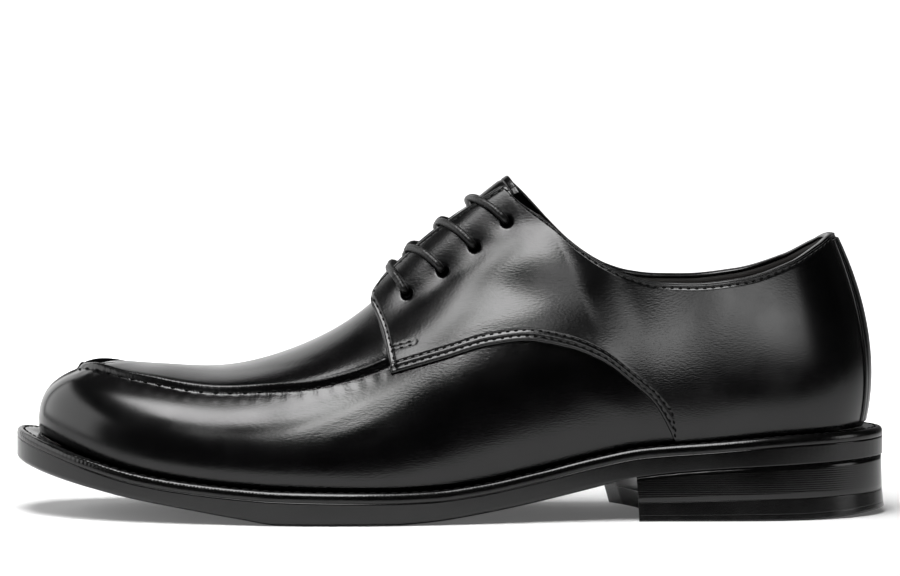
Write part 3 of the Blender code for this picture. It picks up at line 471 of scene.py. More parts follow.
    def normal(self, side, along, rise):
        along, rise = np.broadcast_arrays(np.asarray(along, float), np.asarray(rise, float))
        inner = np.clip(rise, RISE_NUDGE, RISE_MOST)
        length_way = self.point(side, along + NUDGE, inner) - self.point(side, along - NUDGE, inner)
        rise_way = self.point(side, along, inner + RISE_NUDGE) - self.point(side, along, inner - RISE_NUDGE)
        normal = np.cross(length_way, rise_way) * -side
        normal /= np.linalg.norm(normal, axis=-1, keepdims=True)
        slope = self.ridge_slope(side, along)
        ridge = np.stack([-slope, np.zeros_like(slope), np.ones_like(slope)], -1)
        ridge /= np.linalg.norm(ridge, axis=-1, keepdims=True)
        return np.where((rise >= 1.0)[..., None], ridge, normal)

    def raised(self, side, along, rise, height):
        """Point at a height above the outer surface."""
        return self.point(side, along, rise) + self.normal(side, along, rise) * np.asarray(height)[..., None]

    def rise_length(self, side, along, rise):
        """Millimetres of surface for one whole share of rise, at a place."""
        step = self.point(side, along, rise + RISE_NUDGE) - self.point(side, along, rise - RISE_NUDGE)
        return np.linalg.norm(step, axis=-1) / (2 * RISE_NUDGE)

    def edge(self, side, along, inset):
        """Plan of the sole's edge, moved in by an inset."""
        c = self.columns(side, along)
        out = self.outward(side, along)[..., :2]
        foot = c[..., :2]
        return foot + out * (c[..., self.LEDGE] - inset)[..., None]

    def ledge(self, side, along):
        return self.columns(side, along)[..., self.LEDGE]


last = Last()


def facing_lift(side, along):
    """Most that the quarter rises over the tongue, fading out behind the facings."""
    top_x = last.columns(side, along)[..., Last.TOP_X]
    return FACING_LIFT * (1 - smooth_step(top_x, FACING_FADE_START_X, FACING_FADE_END_X))


def quarter_height_above(side, along, rise):
    """Height of the quarters' outer face over the last: a step, and the lift of the facings."""
    lift = facing_lift(side, along) * smooth_step(rise, FACING_LIFT_START, FACING_LIFT_FULL)
    return QUARTER_STEP + lift


def lift_start_rise(side, along):
    """Share of the way up where a facing leaves the inner wall."""
    share = np.clip(LIFT_AT_WALL_EDGE / np.maximum(facing_lift(side, along), LIFT_AT_WALL_EDGE), 0.0, 1.0)
    climb = 0.5 - np.sin(np.arcsin(1 - 2 * share) / 3)
    leaving = FACING_LIFT_START + (FACING_LIFT_FULL - FACING_LIFT_START) * climb
    return np.where(share < 1.0, leaving, 1.0)


def quarter_point(side, along, rise, sink=0.0):
    return last.raised(side, along, rise, quarter_height_above(side, along, rise) - sink)


def solve_rise(side, along, is_above):
    """Share of the way up each section where a line is reached."""
    low = np.zeros_like(along)
    high = np.ones_like(along)
    for _ in range(SOLVER_STEPS):
        middle = 0.5 * (low + high)
        above = is_above(quarter_point(side, along, middle))
        low = np.where(above, low, middle)
        high = np.where(above, middle, high)
    return 0.5 * (low + high)


def facing_gap(x):
    share = smooth_step(x, LACE_HOLES[0].x, LACE_HOLES[-1].x)
    return FACING_GAP_FRONT + (FACING_GAP_TOP - FACING_GAP_FRONT) * share


def quarter_low(side, along):
    rise = solve_rise(side, along, lambda p: p[..., 2] > quarter_height(p[..., 0]))
    return np.maximum(rise, QUARTER_FOOT_RISE)


def quarter_high(side, along):
    """Upper edge of the quarters: the facing beside the throat, then the collar."""
    collar = solve_rise(side, along, lambda p: p[..., 2] > collar_height(side, p[..., 0]))
    middle = last.columns(side, along)[..., Last.TOP_MID]
    facing = solve_rise(side, along, lambda p: np.abs(p[..., 1] - middle) < facing_gap(p[..., 0]))
    facing = np.where(last.columns(side, along)[..., Last.TOP_X] < FACING_FADE_END_X, facing, 1.0)
    to_front = np.clip(1 - (along - QUARTER_FRONT) / FACING_CORNER, 0.0, 1.0)
    rounding = FACING_CORNER_DROP * (1 - np.sqrt(1 - to_front ** 2))
    return np.minimum(collar, facing - rounding)


def vamp_high(side, along):
    """Upper edge of the inner wall: closed over the vamp, open at the throat, just under the collar."""
    top_x = last.columns(side, along)[..., Last.TOP_X]
    collar = quarter_high(side, along) - COLLAR_STEP_RISE
    opening = smooth_step(top_x, THROAT_START_X, THROAT_OPEN_X)
    throat = 1 - (1 - lift_start_rise(side, along)) * opening
    beside_throat = np.where(opening > 0, np.minimum(throat, collar), 1.0)
    return np.where(top_x < FACING_FADE_END_X, beside_throat, collar)


def find_place(hole):
    """Place on the lateral facing that shows at a point of the side view."""
    start_along = QUARTER_FRONT + 0.5 * (hole.z - 0.5 * INSTEP_HEIGHT)
    place = np.array([start_along, TONGUE_EDGE_RISE])
    steps = np.array([NUDGE, RISE_NUDGE])
    target = np.array([hole.x, hole.z])
    stride = SOLVER_STRIDE * steps
    for _ in range(SOLVER_STEPS):
        here = quarter_point(-1, place[0], place[1])[[0, 2]]
        change = np.zeros((2, 2))
        for k in range(2):
            moved = place.copy()
            moved[k] += steps[k]
            change[:, k] = (quarter_point(-1, moved[0], moved[1])[[0, 2]] - here) / steps[k]
        place = place + np.clip(np.linalg.solve(change, target - here), -stride, stride)
    return place


HOLES = [find_place(hole) for hole in LACE_HOLES]
TACK_ENDS = [find_place(place) for place in BAR_TACK]


# Mesh making

def grid_faces(columns, rows, start=0):
    """Quads of a grid of points that are stored column by column."""
    i, j = np.meshgrid(np.arange(columns - 1), np.arange(rows - 1), indexing="ij")
    first = i * rows + j
    return start + np.stack([first, first + rows, first + rows + 1, first + 1], -1).reshape(-1, 4)


def strip_faces(first, second):
    """Quads between two rows of point numbers."""
    return np.stack([first[:-1], first[1:], second[1:], second[:-1]], -1)


def wall_faces(columns, rows, rimmed_top=None, rimmed_ends=True):
    """Quads of a wall between an outer and an inner grid, rimmed at its edges."""
    count = columns * rows
    numbers = np.arange(count).reshape(columns, rows)
    faces = [grid_faces(columns, rows), grid_faces(columns, rows, count)[:, ::-1]]
    faces.append(strip_faces(numbers[:, 0], numbers[:, 0] + count))
    top = strip_faces(numbers[:, -1], numbers[:, -1] + count)
    faces.append(top if rimmed_top is None else top[rimmed_top])
    if rimmed_ends:
        for end in (numbers[0], numbers[-1]):
            faces.append(strip_faces(end, end + count))
    return np.concatenate(faces)


def sheet_faces(columns, outer_rows, inner_rows, rimmed_top=None):
    """Faces of a wall with a fine outer grid and a plainer inner one that share their columns."""
    count = columns * outer_rows
    outer = np.arange(count).reshape(columns, outer_rows)
    inner = count + np.arange(columns * inner_rows).reshape(columns, inner_rows)
    top = strip_faces(outer[:, -1], inner[:, -1])
    blocks = [grid_faces(columns, outer_rows), grid_faces(columns, inner_rows, count)[:, ::-1]]
    blocks.append(strip_faces(outer[:, 0], inner[:, 0]))
    blocks.append(top if rimmed_top is None else top[rimmed_top])
    ends = [np.concatenate([outer[k], inner[k, ::-1]]) for k in (0, -1)]
    return [face for block in blocks for face in block] + ends


def ring_faces(rings, points, closed=False):
    """Quads of a tube of rings, stored ring by ring; closed joins the last ring to the first."""
    faces = []
    for i in range(rings if closed else rings - 1):
        first = i * points + np.arange(points)
        second = (i + 1) % rings * points + np.arange(points)
        faces.append(np.stack([first, np.roll(first, -1), np.roll(second, -1), second], -1))
    return np.concatenate(faces)


def add_mark(mesh, mark, values):
    """Named value at each point of a mesh, for its material."""
    layer = mesh.attributes.new(mark, "FLOAT", "POINT")
    layer.data.foreach_set("value", np.asarray(values, np.float32).ravel())


def add_object(name, data):
    """Object of a mesh or a camera, put in the scene."""
    thing = bpy.data.objects.new(name, data)
    bpy.context.scene.collection.objects.link(thing)
    return thing


def make_piece(name, points, faces, material, nodes=(), marks=None):
    """One closed smooth mesh that rides on the shoe, with named values at its points for its material."""
    mesh = bpy.data.meshes.new(name)
    mesh.from_pydata((np.asarray(points) * MM).tolist(), [], [list(map(int, face)) for face in faces])
    for mark, values in (marks or {}).items():
        add_mark(mesh, mark, values)
    shape = bmesh.new()
    shape.from_mesh(mesh)
    bmesh.ops.remove_doubles(shape, verts=shape.verts, dist=MERGE_DISTANCE)
    bmesh.ops.dissolve_degenerate(shape, edges=shape.edges, dist=MERGE_DISTANCE)
    bmesh.ops.recalc_face_normals(shape, faces=shape.faces)
    for face in shape.faces:
        face.smooth = True
    shape.to_mesh(mesh)
    shape.free()
    mesh.materials.append(material)
    piece = add_object(name, mesh)
    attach(piece, BODY)
    if nodes:
        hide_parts(*nodes)
    return piece


def crowded(count, strength):
    """Shares from 0 to 1, closer together at both ends."""
    share = np.linspace(0.0, 1.0, count)
    return share - strength * np.sin(2 * math.pi * share) / (2 * math.pi)


def lengths_along(route):
    """Distance from the start of a path to each of its points."""
    gaps = np.linalg.norm(np.diff(route, axis=0), axis=1)
    return np.concatenate([[0.0], np.cumsum(gaps)])


def read_route(places, far, values):
    """Vectors given at the points of a path, read at other distances along it."""
    return np.stack([np.interp(places, far, values[:, k]) for k in range(3)], -1)


def along_route(route, pitch):
    """Distances of a path's points, and the middles of even steps along it."""
    far = lengths_along(route)
    count = max(int(far[-1] / pitch), 1)
    return far, (np.arange(count) + 0.5) * far[-1] / count


def smooth_route(points, steps):
    """Evenly rounded path through the points of a lace strand."""
    points = np.array(points)
    padded = np.concatenate([2 * points[:1] - points[1:2], points, 2 * points[-1:] - points[-2:-1]])
    route = []
    for k in range(1, len(padded) - 2):
        before, start, end, after = padded[k - 1:k + 3]
        square = 2 * before - 5 * start + 4 * end - after
        cube = 3 * start - before - 3 * end + after
        for u in np.linspace(0.0, 1.0, steps, endpoint=False):
            route.append(start + 0.5 * ((end - before) * u + square * u ** 2 + cube * u ** 3))
    route.append(points[-1])
    return np.array(route)


def even_route(route, pitch):
    """The same path with points at an even pitch."""
    far = lengths_along(route)
    places = np.linspace(0.0, far[-1], max(int(far[-1] / pitch), 2))
    return read_route(places, far, route), places


# Shader nodes

def add_node(tree, kind, **settings):
    node = tree.nodes.new(kind)
    for key, value in settings.items():
        setattr(node, key, value)
    return node


def feed(tree, socket, value):
    """Link an output to a socket, or set the socket's own value."""
    if isinstance(value, bpy.types.NodeSocket):
        tree.links.new(value, socket)
    else:
        socket.default_value = value


def calculate(tree, operation, first, second=0.0):
    node = add_node(tree, "ShaderNodeMath", operation=operation)
    feed(tree, node.inputs[0], first)
    feed(tree, node.inputs[1], second)
    return node.outputs[0]


def remap(tree, value, low, high, new_low, new_high):
    node = add_node(tree, "ShaderNodeMapRange", interpolation_type="SMOOTHSTEP")
    for socket, setting in zip(node.inputs[:5], (value, low, high, new_low, new_high)):
        feed(tree, socket, setting)
    return node.outputs[0]


def read_mark(tree, mark):
    return add_node(tree, "ShaderNodeAttribute", attribute_name=mark).outputs["Fac"]


def new_group(name, inputs, outputs):
    """Empty shader group with named number inputs and outputs."""
    group = bpy.data.node_groups.new(name, "ShaderNodeTree")
    for label, value in inputs.items():
        socket = group.interface.new_socket(label, in_out="INPUT", socket_type="NodeSocketFloat")
        socket.default_value = value
    for label in outputs:
        group.interface.new_socket(label, in_out="OUTPUT", socket_type="NodeSocketFloat")
    return group, add_node(group, "NodeGroupInput"), add_node(group, "NodeGroupOutput")


def place_group(tree, group, **values):
    node = add_node(tree, "ShaderNodeGroup", node_tree=group)
    for label, value in values.items():
        feed(tree, node.inputs[label], value)
    return node


def noise(tree, vector, scale, detail, roughness=0.5):
    node = add_node(tree, "ShaderNodeTexNoise")
    feed(tree, node.inputs["Vector"], vector)
    feed(tree, node.inputs["Scale"], scale)
    feed(tree, node.inputs["Detail"], detail)
    feed(tree, node.inputs["Roughness"], roughness)
    return node.outputs["Fac"]


def object_place(tree):
    return add_node(tree, "ShaderNodeTexCoord").outputs["Object"]


def stretched_place(tree, across, along_x):
    """Object coordinates drawn out along the shoe."""
    mapping = add_node(tree, "ShaderNodeMapping")
    feed(tree, mapping.inputs["Vector"], object_place(tree))
    mapping.inputs["Scale"].default_value = (along_x, across, across)
    return mapping.outputs["Vector"]


def leather_grain_group():
    """Pores and fine creases drawn out along the shoe, and a slow unevenness of the polish."""
    group, inside, outside = new_group(
        "leather_grain", {"Pores": 2000.0, "Creases": 1700.0, "Crease Share": 0.6}, ("Height", "Mottle"))
    pores = add_node(group, "ShaderNodeTexVoronoi", feature="F1")
    feed(group, pores.inputs["Vector"], stretched_place(group, across=1.0, along_x=0.45))
    feed(group, pores.inputs["Scale"], inside.outputs["Pores"])
    long_way = stretched_place(group, across=1.0, along_x=0.40)
    creases = noise(group, long_way, scale=inside.outputs["Creases"], detail=3.0, roughness=0.6)
    crease_part = calculate(group, "MULTIPLY", creases, inside.outputs["Crease Share"])
    pore_share = calculate(group, "SUBTRACT", 1.0, inside.outputs["Crease Share"])
    pore_part = calculate(group, "MULTIPLY", pores.outputs["Distance"], pore_share)
    feed(group, outside.inputs["Height"], calculate(group, "ADD", crease_part, pore_part))
    mottle = noise(group, object_place(group), scale=55.0, detail=4.0, roughness=0.6)
    feed(group, outside.inputs["Mottle"], mottle)
    return group


def fine_lines_group():
    """Uneven parallel lines across a running measure."""
    group, inside, outside = new_group(
        "fine_lines", {"Measure": 0.0, "Pitch": 1.0, "Unevenness": 0.5}, ("Height",))
    wander = noise(group, object_place(group), scale=160.0, detail=3.0)
    turned = calculate(group, "DIVIDE", inside.outputs["Measure"], inside.outputs["Pitch"])
    uneven = calculate(group, "MULTIPLY", wander, inside.outputs["Unevenness"])
    phase = calculate(group, "MULTIPLY", calculate(group, "ADD", turned, uneven), 2 * math.pi)
    wave = calculate(group, "SINE", phase)
    feed(group, outside.inputs["Height"], calculate(group, "MULTIPLY_ADD", wave, 0.5))
    return group


LEATHER_GRAIN = leather_grain_group()
FINE_LINES = fine_lines_group()
MIDDLE_SHARES = (0.3, 0.7)
EDGE_GRAIN_SHARE = 0.5
THREAD_SPREAD = 0.1


def grey(shade):
    return (shade, shade, shade)


def new_material(name, colour, roughness, coat=0.0, coat_roughness=0.1, specular=0.5):
    """Principled material with its even values set, its tree and its shader."""
    material = bpy.data.materials.new(name)
    material.use_nodes = True
    tree = material.node_tree
    shader = tree.nodes["Principled BSDF"]
    shader.inputs["Base Color"].default_value = (*colour, 1.0)
    shader.inputs["Roughness"].default_value = roughness
    shader.inputs["Coat Weight"].default_value = coat
    shader.inputs["Coat Roughness"].default_value = coat_roughness
    shader.inputs["Specular IOR Level"].default_value = specular
    return material, tree, shader


def add_bump(tree, shader, height, depth_mm, strength=1.0):
    bump = add_node(tree, "ShaderNodeBump")
    feed(tree, bump.inputs["Strength"], strength)
    feed(tree, bump.inputs["Distance"], depth_mm * MM)
    feed(tree, bump.inputs["Height"], height)
    feed(tree, shader.inputs["Normal"], bump.outputs["Normal"])
    feed(tree, shader.inputs["Coat Normal"], bump.outputs["Normal"])


def vary_colour(tree, shader, share, dark, light):
    mix = add_node(tree, "ShaderNodeMix", data_type="RGBA")
    feed(tree, mix.inputs["Factor"], share)
    mix.inputs[6].default_value = (*dark, 1.0)
    mix.inputs[7].default_value = (*light, 1.0)
    feed(tree, shader.inputs["Base Color"], mix.outputs[2])


def vary_roughness(tree, shader, share, low, high):
    """Roughness from low to high over the middle of a share."""
    feed(tree, shader.inputs["Roughness"], remap(tree, share, *MIDDLE_SHARES, low, high))


def polished_leather():
    """Black calf: smooth at the toe and heel, finely creased where it bends, and made lightless inside the
    lace holes as painted shade.
    """
    material, tree, shader = new_material("polished_leather", colour=(0.0012, 0.0012, 0.0013), roughness=0.20)
    grain = place_group(tree, LEATHER_GRAIN)
    grained = calculate(tree, "MULTIPLY", grain.outputs["Height"], read_mark(tree, "grain"))
    wrinkles = noise(tree, stretched_place(tree, across=0.25, along_x=1.0), scale=1300.0, detail=2.0)
    gathered = calculate(tree, "MULTIPLY", wrinkles, read_mark(tree, "gather"))
    add_bump(tree, shader, calculate(tree, "ADD", grained, gathered), depth_mm=0.045)
    vary_colour(tree, shader, grain.outputs["Mottle"],
                dark=(0.0008, 0.0008, 0.0009), light=(0.0016, 0.0016, 0.0017))
    vary_roughness(tree, shader, grain.outputs["Mottle"], low=0.17, high=0.24)
    # Painted shade: where the mark is 1, the black base turns fully metallic, so the inside of a lace hole
    # shows no light
    feed(tree, shader.inputs["Metallic"], read_mark(tree, "dull"))
    return material


def lining_leather():
    material, tree, shader = new_material(
        "lining_leather", colour=(0.02, 0.018, 0.017), roughness=0.6, specular=0.3)
    grain = place_group(tree, LEATHER_GRAIN, Pores=1300.0, Creases=300.0)
    add_bump(tree, shader, grain.outputs["Height"], depth_mm=0.08)
    vary_colour(tree, shader, grain.outputs["Mottle"],
                dark=(0.012, 0.011, 0.010), light=(0.026, 0.023, 0.021))
    vary_roughness(tree, shader, grain.outputs["Mottle"], low=0.5, high=0.72)
    return material


def burnished_edge(name, pitch, depth, roughness_low, roughness_high):
    """Dyed and waxed leather edge, marked along by the iron; where the welt's top sinks into the gap under
    the upper, it is made lightless as painted shade.
    """
    material, tree, shader = new_material(name, colour=grey(0.0015), roughness=0.35)
    lines = place_group(tree, FINE_LINES, Measure=read_mark(tree, "run"), Pitch=pitch, Unevenness=0.7)
    grain = place_group(tree, LEATHER_GRAIN, Pores=1500.0, Creases=700.0)
    lined = calculate(tree, "MULTIPLY", lines.outputs["Height"], read_mark(tree, "edge"))
    grained = calculate(tree, "MULTIPLY", grain.outputs["Height"], EDGE_GRAIN_SHARE)
    add_bump(tree, shader, calculate(tree, "ADD", lined, grained), depth_mm=depth)
    vary_colour(tree, shader, grain.outputs["Mottle"], dark=grey(0.001), light=grey(0.003))
    vary_roughness(tree, shader, grain.outputs["Mottle"], roughness_low, roughness_high)
    # Painted shade: the welt's top inside its rim turns fully metallic on a black base, so it shows no light
    feed(tree, shader.inputs["Metallic"], read_mark(tree, "dull"))
    return material


def stacked_leather():
    """Heel lifts: fine level lines of pressed leather under black dye."""
    material, tree, shader = new_material("stacked_leather", colour=grey(0.002), roughness=0.38)
    lines = place_group(tree, FINE_LINES, Measure=read_mark(tree, "drop"), Pitch=0.75, Unevenness=0.35)
    grain = place_group(tree, LEATHER_GRAIN, Pores=1600.0, Creases=800.0)
    height = calculate(tree, "ADD", lines.outputs["Height"], grain.outputs["Height"])
    add_bump(tree, shader, height, depth_mm=0.005)
    vary_colour(tree, shader, lines.outputs["Height"], dark=grey(0.0015), light=grey(0.003))
    vary_roughness(tree, shader, grain.outputs["Mottle"], low=0.11, high=0.17)
    return material


def heel_rubber():
    material, tree, shader = new_material("heel_rubber", colour=grey(0.003), roughness=0.5)
    grain = place_group(tree, LEATHER_GRAIN, Pores=2200.0, Creases=900.0)
    add_bump(tree, shader, grain.outputs["Height"], depth_mm=0.02)
    vary_colour(tree, shader, grain.outputs["Mottle"], dark=grey(0.002), light=grey(0.005))
    vary_roughness(tree, shader, grain.outputs["Mottle"], low=0.18, high=0.26)
    return material


def waxed_thread(name, roughness, specular, dark, light):
    """Twisted thread or braided cord, black with a waxy sheen."""
    material, tree, shader = new_material(name, colour=dark, roughness=roughness, specular=specular)
    fibres = noise(tree, object_place(tree), scale=2600.0, detail=2.0)
    add_bump(tree, shader, fibres, depth_mm=0.08)
    vary_colour(tree, shader, fibres, dark, light)
    vary_roughness(tree, shader, fibres, roughness - THREAD_SPREAD, roughness + THREAD_SPREAD)
    return material


LEATHER = polished_leather()
LINING = lining_leather()
WELT_LEATHER = burnished_edge("welt_leather", pitch=1.1, depth=0.04, roughness_low=0.15, roughness_high=0.22)
SOLE_LEATHER = burnished_edge("sole_leather", pitch=1.7, depth=0.008, roughness_low=0.12, roughness_high=0.18)
HEEL_LEATHER = stacked_leather()
HEEL_RUBBER = heel_rubber()
THREAD = waxed_thread("waxed_thread", roughness=0.8, specular=0.12, dark=grey(0.0008), light=grey(0.003))
CORD = waxed_thread("lace_cord", roughness=0.42, specular=0.5, dark=grey(0.0015), light=grey(0.004))


# Relief of the leather

def crease_relief(creases, side, along, rise, length_scale):
    """Height of the soft troughs and ridges of worn leather."""
    total = np.zeros_like(rise)
    for crease in creases:
        if crease.side != side:
            continue
        turn = math.radians(crease.lean)
        forward = along - crease.along
        upward = (rise - crease.rise) * length_scale
        run = forward * math.cos(turn) + upward * math.sin(turn)
        across = (upward * math.cos(turn) - forward * math.sin(turn)) / crease.width
        total -= crease.depth * (1 - across ** 2) * np.exp(-across ** 2 - (run / crease.length) ** 2)
    return total


def vamp_relief(side, along, rise):
    """Height of the vamp's outer face over the last: the apron seam, its puckers and the flex creases."""
    length_scale = last.rise_length(side, along, apron_rise(along))
    across = (rise - apron_rise(along)) * length_scale
    showing = 1 - smooth_step(along, *SEAM_FADE)
    seam = read_table(across, SEAM_PROFILE, "across", "height")
    reach = smooth_step(across, *PUCKER_RISE) * (1 - smooth_step(across, *PUCKER_FALL))
    pucker = PUCKER_DEPTH * reach * np.cos(2 * math.pi * along / SEAM_STITCH_PITCH)
    return (seam + pucker) * showing + crease_relief(VAMP_CREASES, side, along, rise, length_scale)


def vamp_bulge(side, along, rise):
    """Height of the soft ridge below the quarter's edge, for whole sections of the vamp."""
    low = quarter_low(side, along)
    below = (low[:, None] - rise) * last.rise_length(side, along, low)[:, None]
    shown = smooth_step(along, *BULGE_START) * (1 - smooth_step(along, *BULGE_END))
    return BULGE_HEIGHT * shown[:, None] * np.exp(-((below - BULGE_BELOW) / BULGE_WIDTH) ** 2)


def edge_drop(distance, radius):
    """How far a rounded edge falls away at a distance in from the rim."""
    near = np.clip(1 - distance / radius, 0.0, 1.0)
    return radius * (1 - np.sqrt(1 - near ** 2))


def groove(distance, place):
    return -STITCH_SINK * np.exp(-((distance - place) / STITCH_GROOVE) ** 2)


def low_edge_slant(side, along):
    """Cosine of the angle between a quarter's lower edge and the run of the sections."""
    ahead = along + NUDGE
    behind = along - NUDGE
    low = quarter_low(side, along)
    edge = last.point(side, ahead, quarter_low(side, ahead))
    edge = edge - last.point(side, behind, quarter_low(side, behind))
    run = last.point(side, ahead, low) - last.point(side, behind, low)
    lengths = np.linalg.norm(edge, axis=-1) * np.linalg.norm(run, axis=-1)
    return np.clip((edge * run).sum(-1) / lengths, LEAST_SLANT, 1.0)


def quarter_edges(side, along, rise, low, high):
    """Distances in from the lower edge, the upper edge and the front of a quarter."""
    length_scale = last.rise_length(side, along, np.clip(rise, RISE_NUDGE, 1 - RISE_NUDGE))
    at_sole = FAR_FROM_EDGE * (1 - smooth_step(low, QUARTER_FOOT_RISE, EDGE_END_RISE))
    slant = low_edge_slant(side, along[..., :1] if along.ndim > 1 else along)
    return (rise - low) * length_scale * slant + at_sole, (high - rise) * length_scale, along - QUARTER_FRONT


def quarter_relief(side, along, rise, low, high):
    """Height of details on a quarter: rounded edges, stitch grooves, eyelets and soft creases."""
    from_low, from_high, from_front = quarter_edges(side, along, rise, low, high)
    top_x = last.columns(side, along)[..., Last.TOP_X]
    facing = 1 - smooth_step(top_x, FACING_FADE_START_X, FACING_FADE_END_X)
    inward = np.minimum(np.minimum(from_low, from_high), from_front)
    relief = -edge_drop(inward, EDGE_ROUND)
    for row in LOW_STITCH_ROWS:
        relief = relief + groove(from_low, row)
    middle = 0.5 * sum(LOW_STITCH_ROWS)
    relief = relief + EDGE_PUFF * np.exp(-((from_low - middle) / (0.5 * middle)) ** 2)
    relief = relief + groove(from_front, SIDE_STITCH_ROW) + groove(from_high, SIDE_STITCH_ROW) * facing
    relief = relief + groove(from_high, COLLAR_STITCH_ROW) * (1 - facing)
    base = quarter_point(side, along, rise)
    for hole in HOLES:
        centre = quarter_point(side, *hole)
        away = np.linalg.norm(base - centre, axis=-1)
        outside = smooth_step(away, EYELET_RADIUS - EYELET_SOFTNESS, EYELET_RADIUS)
        relief = relief - EYELET_DEPTH * (1 - outside)
        relief = relief - EYELET_DIP * np.exp(-(away / EYELET_DIP_REACH) ** 2)
    length_scale = last.rise_length(side, along, np.full_like(rise, CREASE_SCALE_RISE))
    creases = crease_relief(QUARTER_CREASES, side, along, rise, length_scale)
    return relief + tack_relief(side, base) + creases


def tack_relief(side, base):
    """Height of the two short grooves that the bar tack's stitches lie in."""
    start, end = (quarter_point(side, *place) for place in TACK_ENDS)
    way = end - start
    share = np.clip((base - start) @ way / (way @ way), 0.0, 1.0)
    away = np.linalg.norm(base - start - share[..., None] * way, axis=-1)
    return TACK_GROOVE * groove(away, 0.5 * BAR_TACK_GAP)


def hole_shade(side, along, rise):
    """How far a place on a quarter lies inside a lace hole, from 0 to 1: the share of painted shade that
    makes the hole's inside lightless.
    """
    base = quarter_point(side, along, rise)
    shade = np.zeros_like(rise)
    for hole in HOLES:
        away = np.linalg.norm(base - quarter_point(side, *hole), axis=-1)
        shade = np.maximum(shade, 1 - smooth_step(away, *EYELET_SHADE))
    return shade


def quarter_surface(side, along, rise, low, high):
    height = quarter_height_above(side, along, rise) + quarter_relief(side, along, rise, low, high)
    return last.raised(side, along, rise, height)


# Upper

VAMP_COLUMNS = 300
VAMP_ROWS_BELOW = 62
VAMP_ROWS_ABOVE = 46
VAMP_END = 222.0
VAMP_UNDERLAP = 0.12
VAMP_COVER = (QUARTER_FRONT + 4.0, QUARTER_FRONT + 16.0)
VAMP_SHEET = 0.9
INNER_ROWS = 18
SEAM_CROWDING = 1.8
SEAM_ROW_MOST = 0.8
VAMP_GRAIN_LEAST = 0.30
VAMP_GRAIN_RISE = (35.0, 110.0)


def vamp_top(side, along):
    """Upper end of the vamp: the ridge, then a hidden edge under the quarter."""
    high = vamp_high(side, along)
    covered = np.minimum(high, quarter_low(side, along) + VAMP_UNDERLAP)
    cover = smooth_step(along, *VAMP_COVER)
    return high * (1 - cover) + covered * cover


def vamp_grain(along):
    """Strength of the leather's grain: low on the polished toe, full at the bend."""
    return VAMP_GRAIN_LEAST + (1 - VAMP_GRAIN_LEAST) * smooth_step(along, *VAMP_GRAIN_RISE)


def vamp_gather(side, along, rise):
    """Strength of the small wrinkles that run down from the apron seam, most at the toe."""
    across = (rise - apron_rise(along)) * last.rise_length(side, along, apron_rise(along))
    near_seam = smooth_step(across, *GATHER_REACH) * (across < 0)
    return GATHER_STRENGTH * near_seam * (1 - GATHER_LOSS * smooth_step(along, *GATHER_ALONG))


def make_vamp():
    stretch = np.linspace(VAMP_END, 0.0, VAMP_COLUMNS)
    outer = []
    inner = []
    open_top = []
    grain = []
    gather = []
    eased = 1 - (1 - np.linspace(0.0, 1.0, VAMP_ROWS_BELOW)) ** SEAM_CROWDING
    rest = np.linspace(0.0, 1.0, VAMP_ROWS_ABOVE)[1:] ** SEAM_CROWDING
    for side, along in ((-1, stretch), (1, stretch[-2::-1])):
        top = vamp_top(side, along)
        seam = np.minimum(apron_rise(along), SEAM_ROW_MOST * top)
        below = seam[:, None] * eased[None, :]
        above = seam[:, None] + (top - seam)[:, None] * rest[None, :]
        rise = np.concatenate([below, above], 1)
        place = np.broadcast_to(along[:, None], rise.shape).copy()
        relief = vamp_relief(side, place, rise) + vamp_bulge(side, along, rise)
        outer.append(last.raised(side, place, rise, relief))
        plain = np.linspace(0.0, 1.0, INNER_ROWS)[None, :] * top[:, None]
        inner.append(last.raised(side, along[:, None], plain, np.full_like(plain, -VAMP_SHEET)))
        open_top.append(top < 1.0)
        grain.append(vamp_grain(place))
        gather.append(vamp_gather(side, place, rise))
    outer = np.concatenate(outer)
    inner = np.concatenate(inner)
    is_open = np.concatenate(open_top)
    faces = sheet_faces(len(outer), outer.shape[1], INNER_ROWS, is_open[:-1] | is_open[1:])
    points = np.concatenate([outer.reshape(-1, 3), inner.reshape(-1, 3)])
    behind = np.zeros(inner.shape[0] * inner.shape[1])
    marks = {"grain": np.concatenate([np.concatenate(grain).ravel(), behind]),
             "gather": np.concatenate([np.concatenate(gather).ravel(), behind])}
    return make_piece("vamp", points, faces, LEATHER, ("upper",), marks)


FACING_END = 190.0
FACING_COLUMNS = 130
BACK_COLUMNS = 110
QUARTER_ROWS = 116
QUARTER_CROWDING = 0.72
FACING_POWER = 1.15
QUARTER_GRAIN_LOSS = 0.55
QUARTER_GRAIN_FADE = (205.0, 260.0)


def quarter_stations():
    share = np.linspace(0.0, 1.0, FACING_COLUMNS) ** FACING_POWER
    front = FACING_END - (FACING_END - QUARTER_FRONT) * (1 - share)
    back = np.linspace(FACING_END, last.half, BACK_COLUMNS)[1:]
    return np.concatenate([front, back])


def quarter_grain(along):
    return 1.0 - QUARTER_GRAIN_LOSS * smooth_step(along, *QUARTER_GRAIN_FADE)


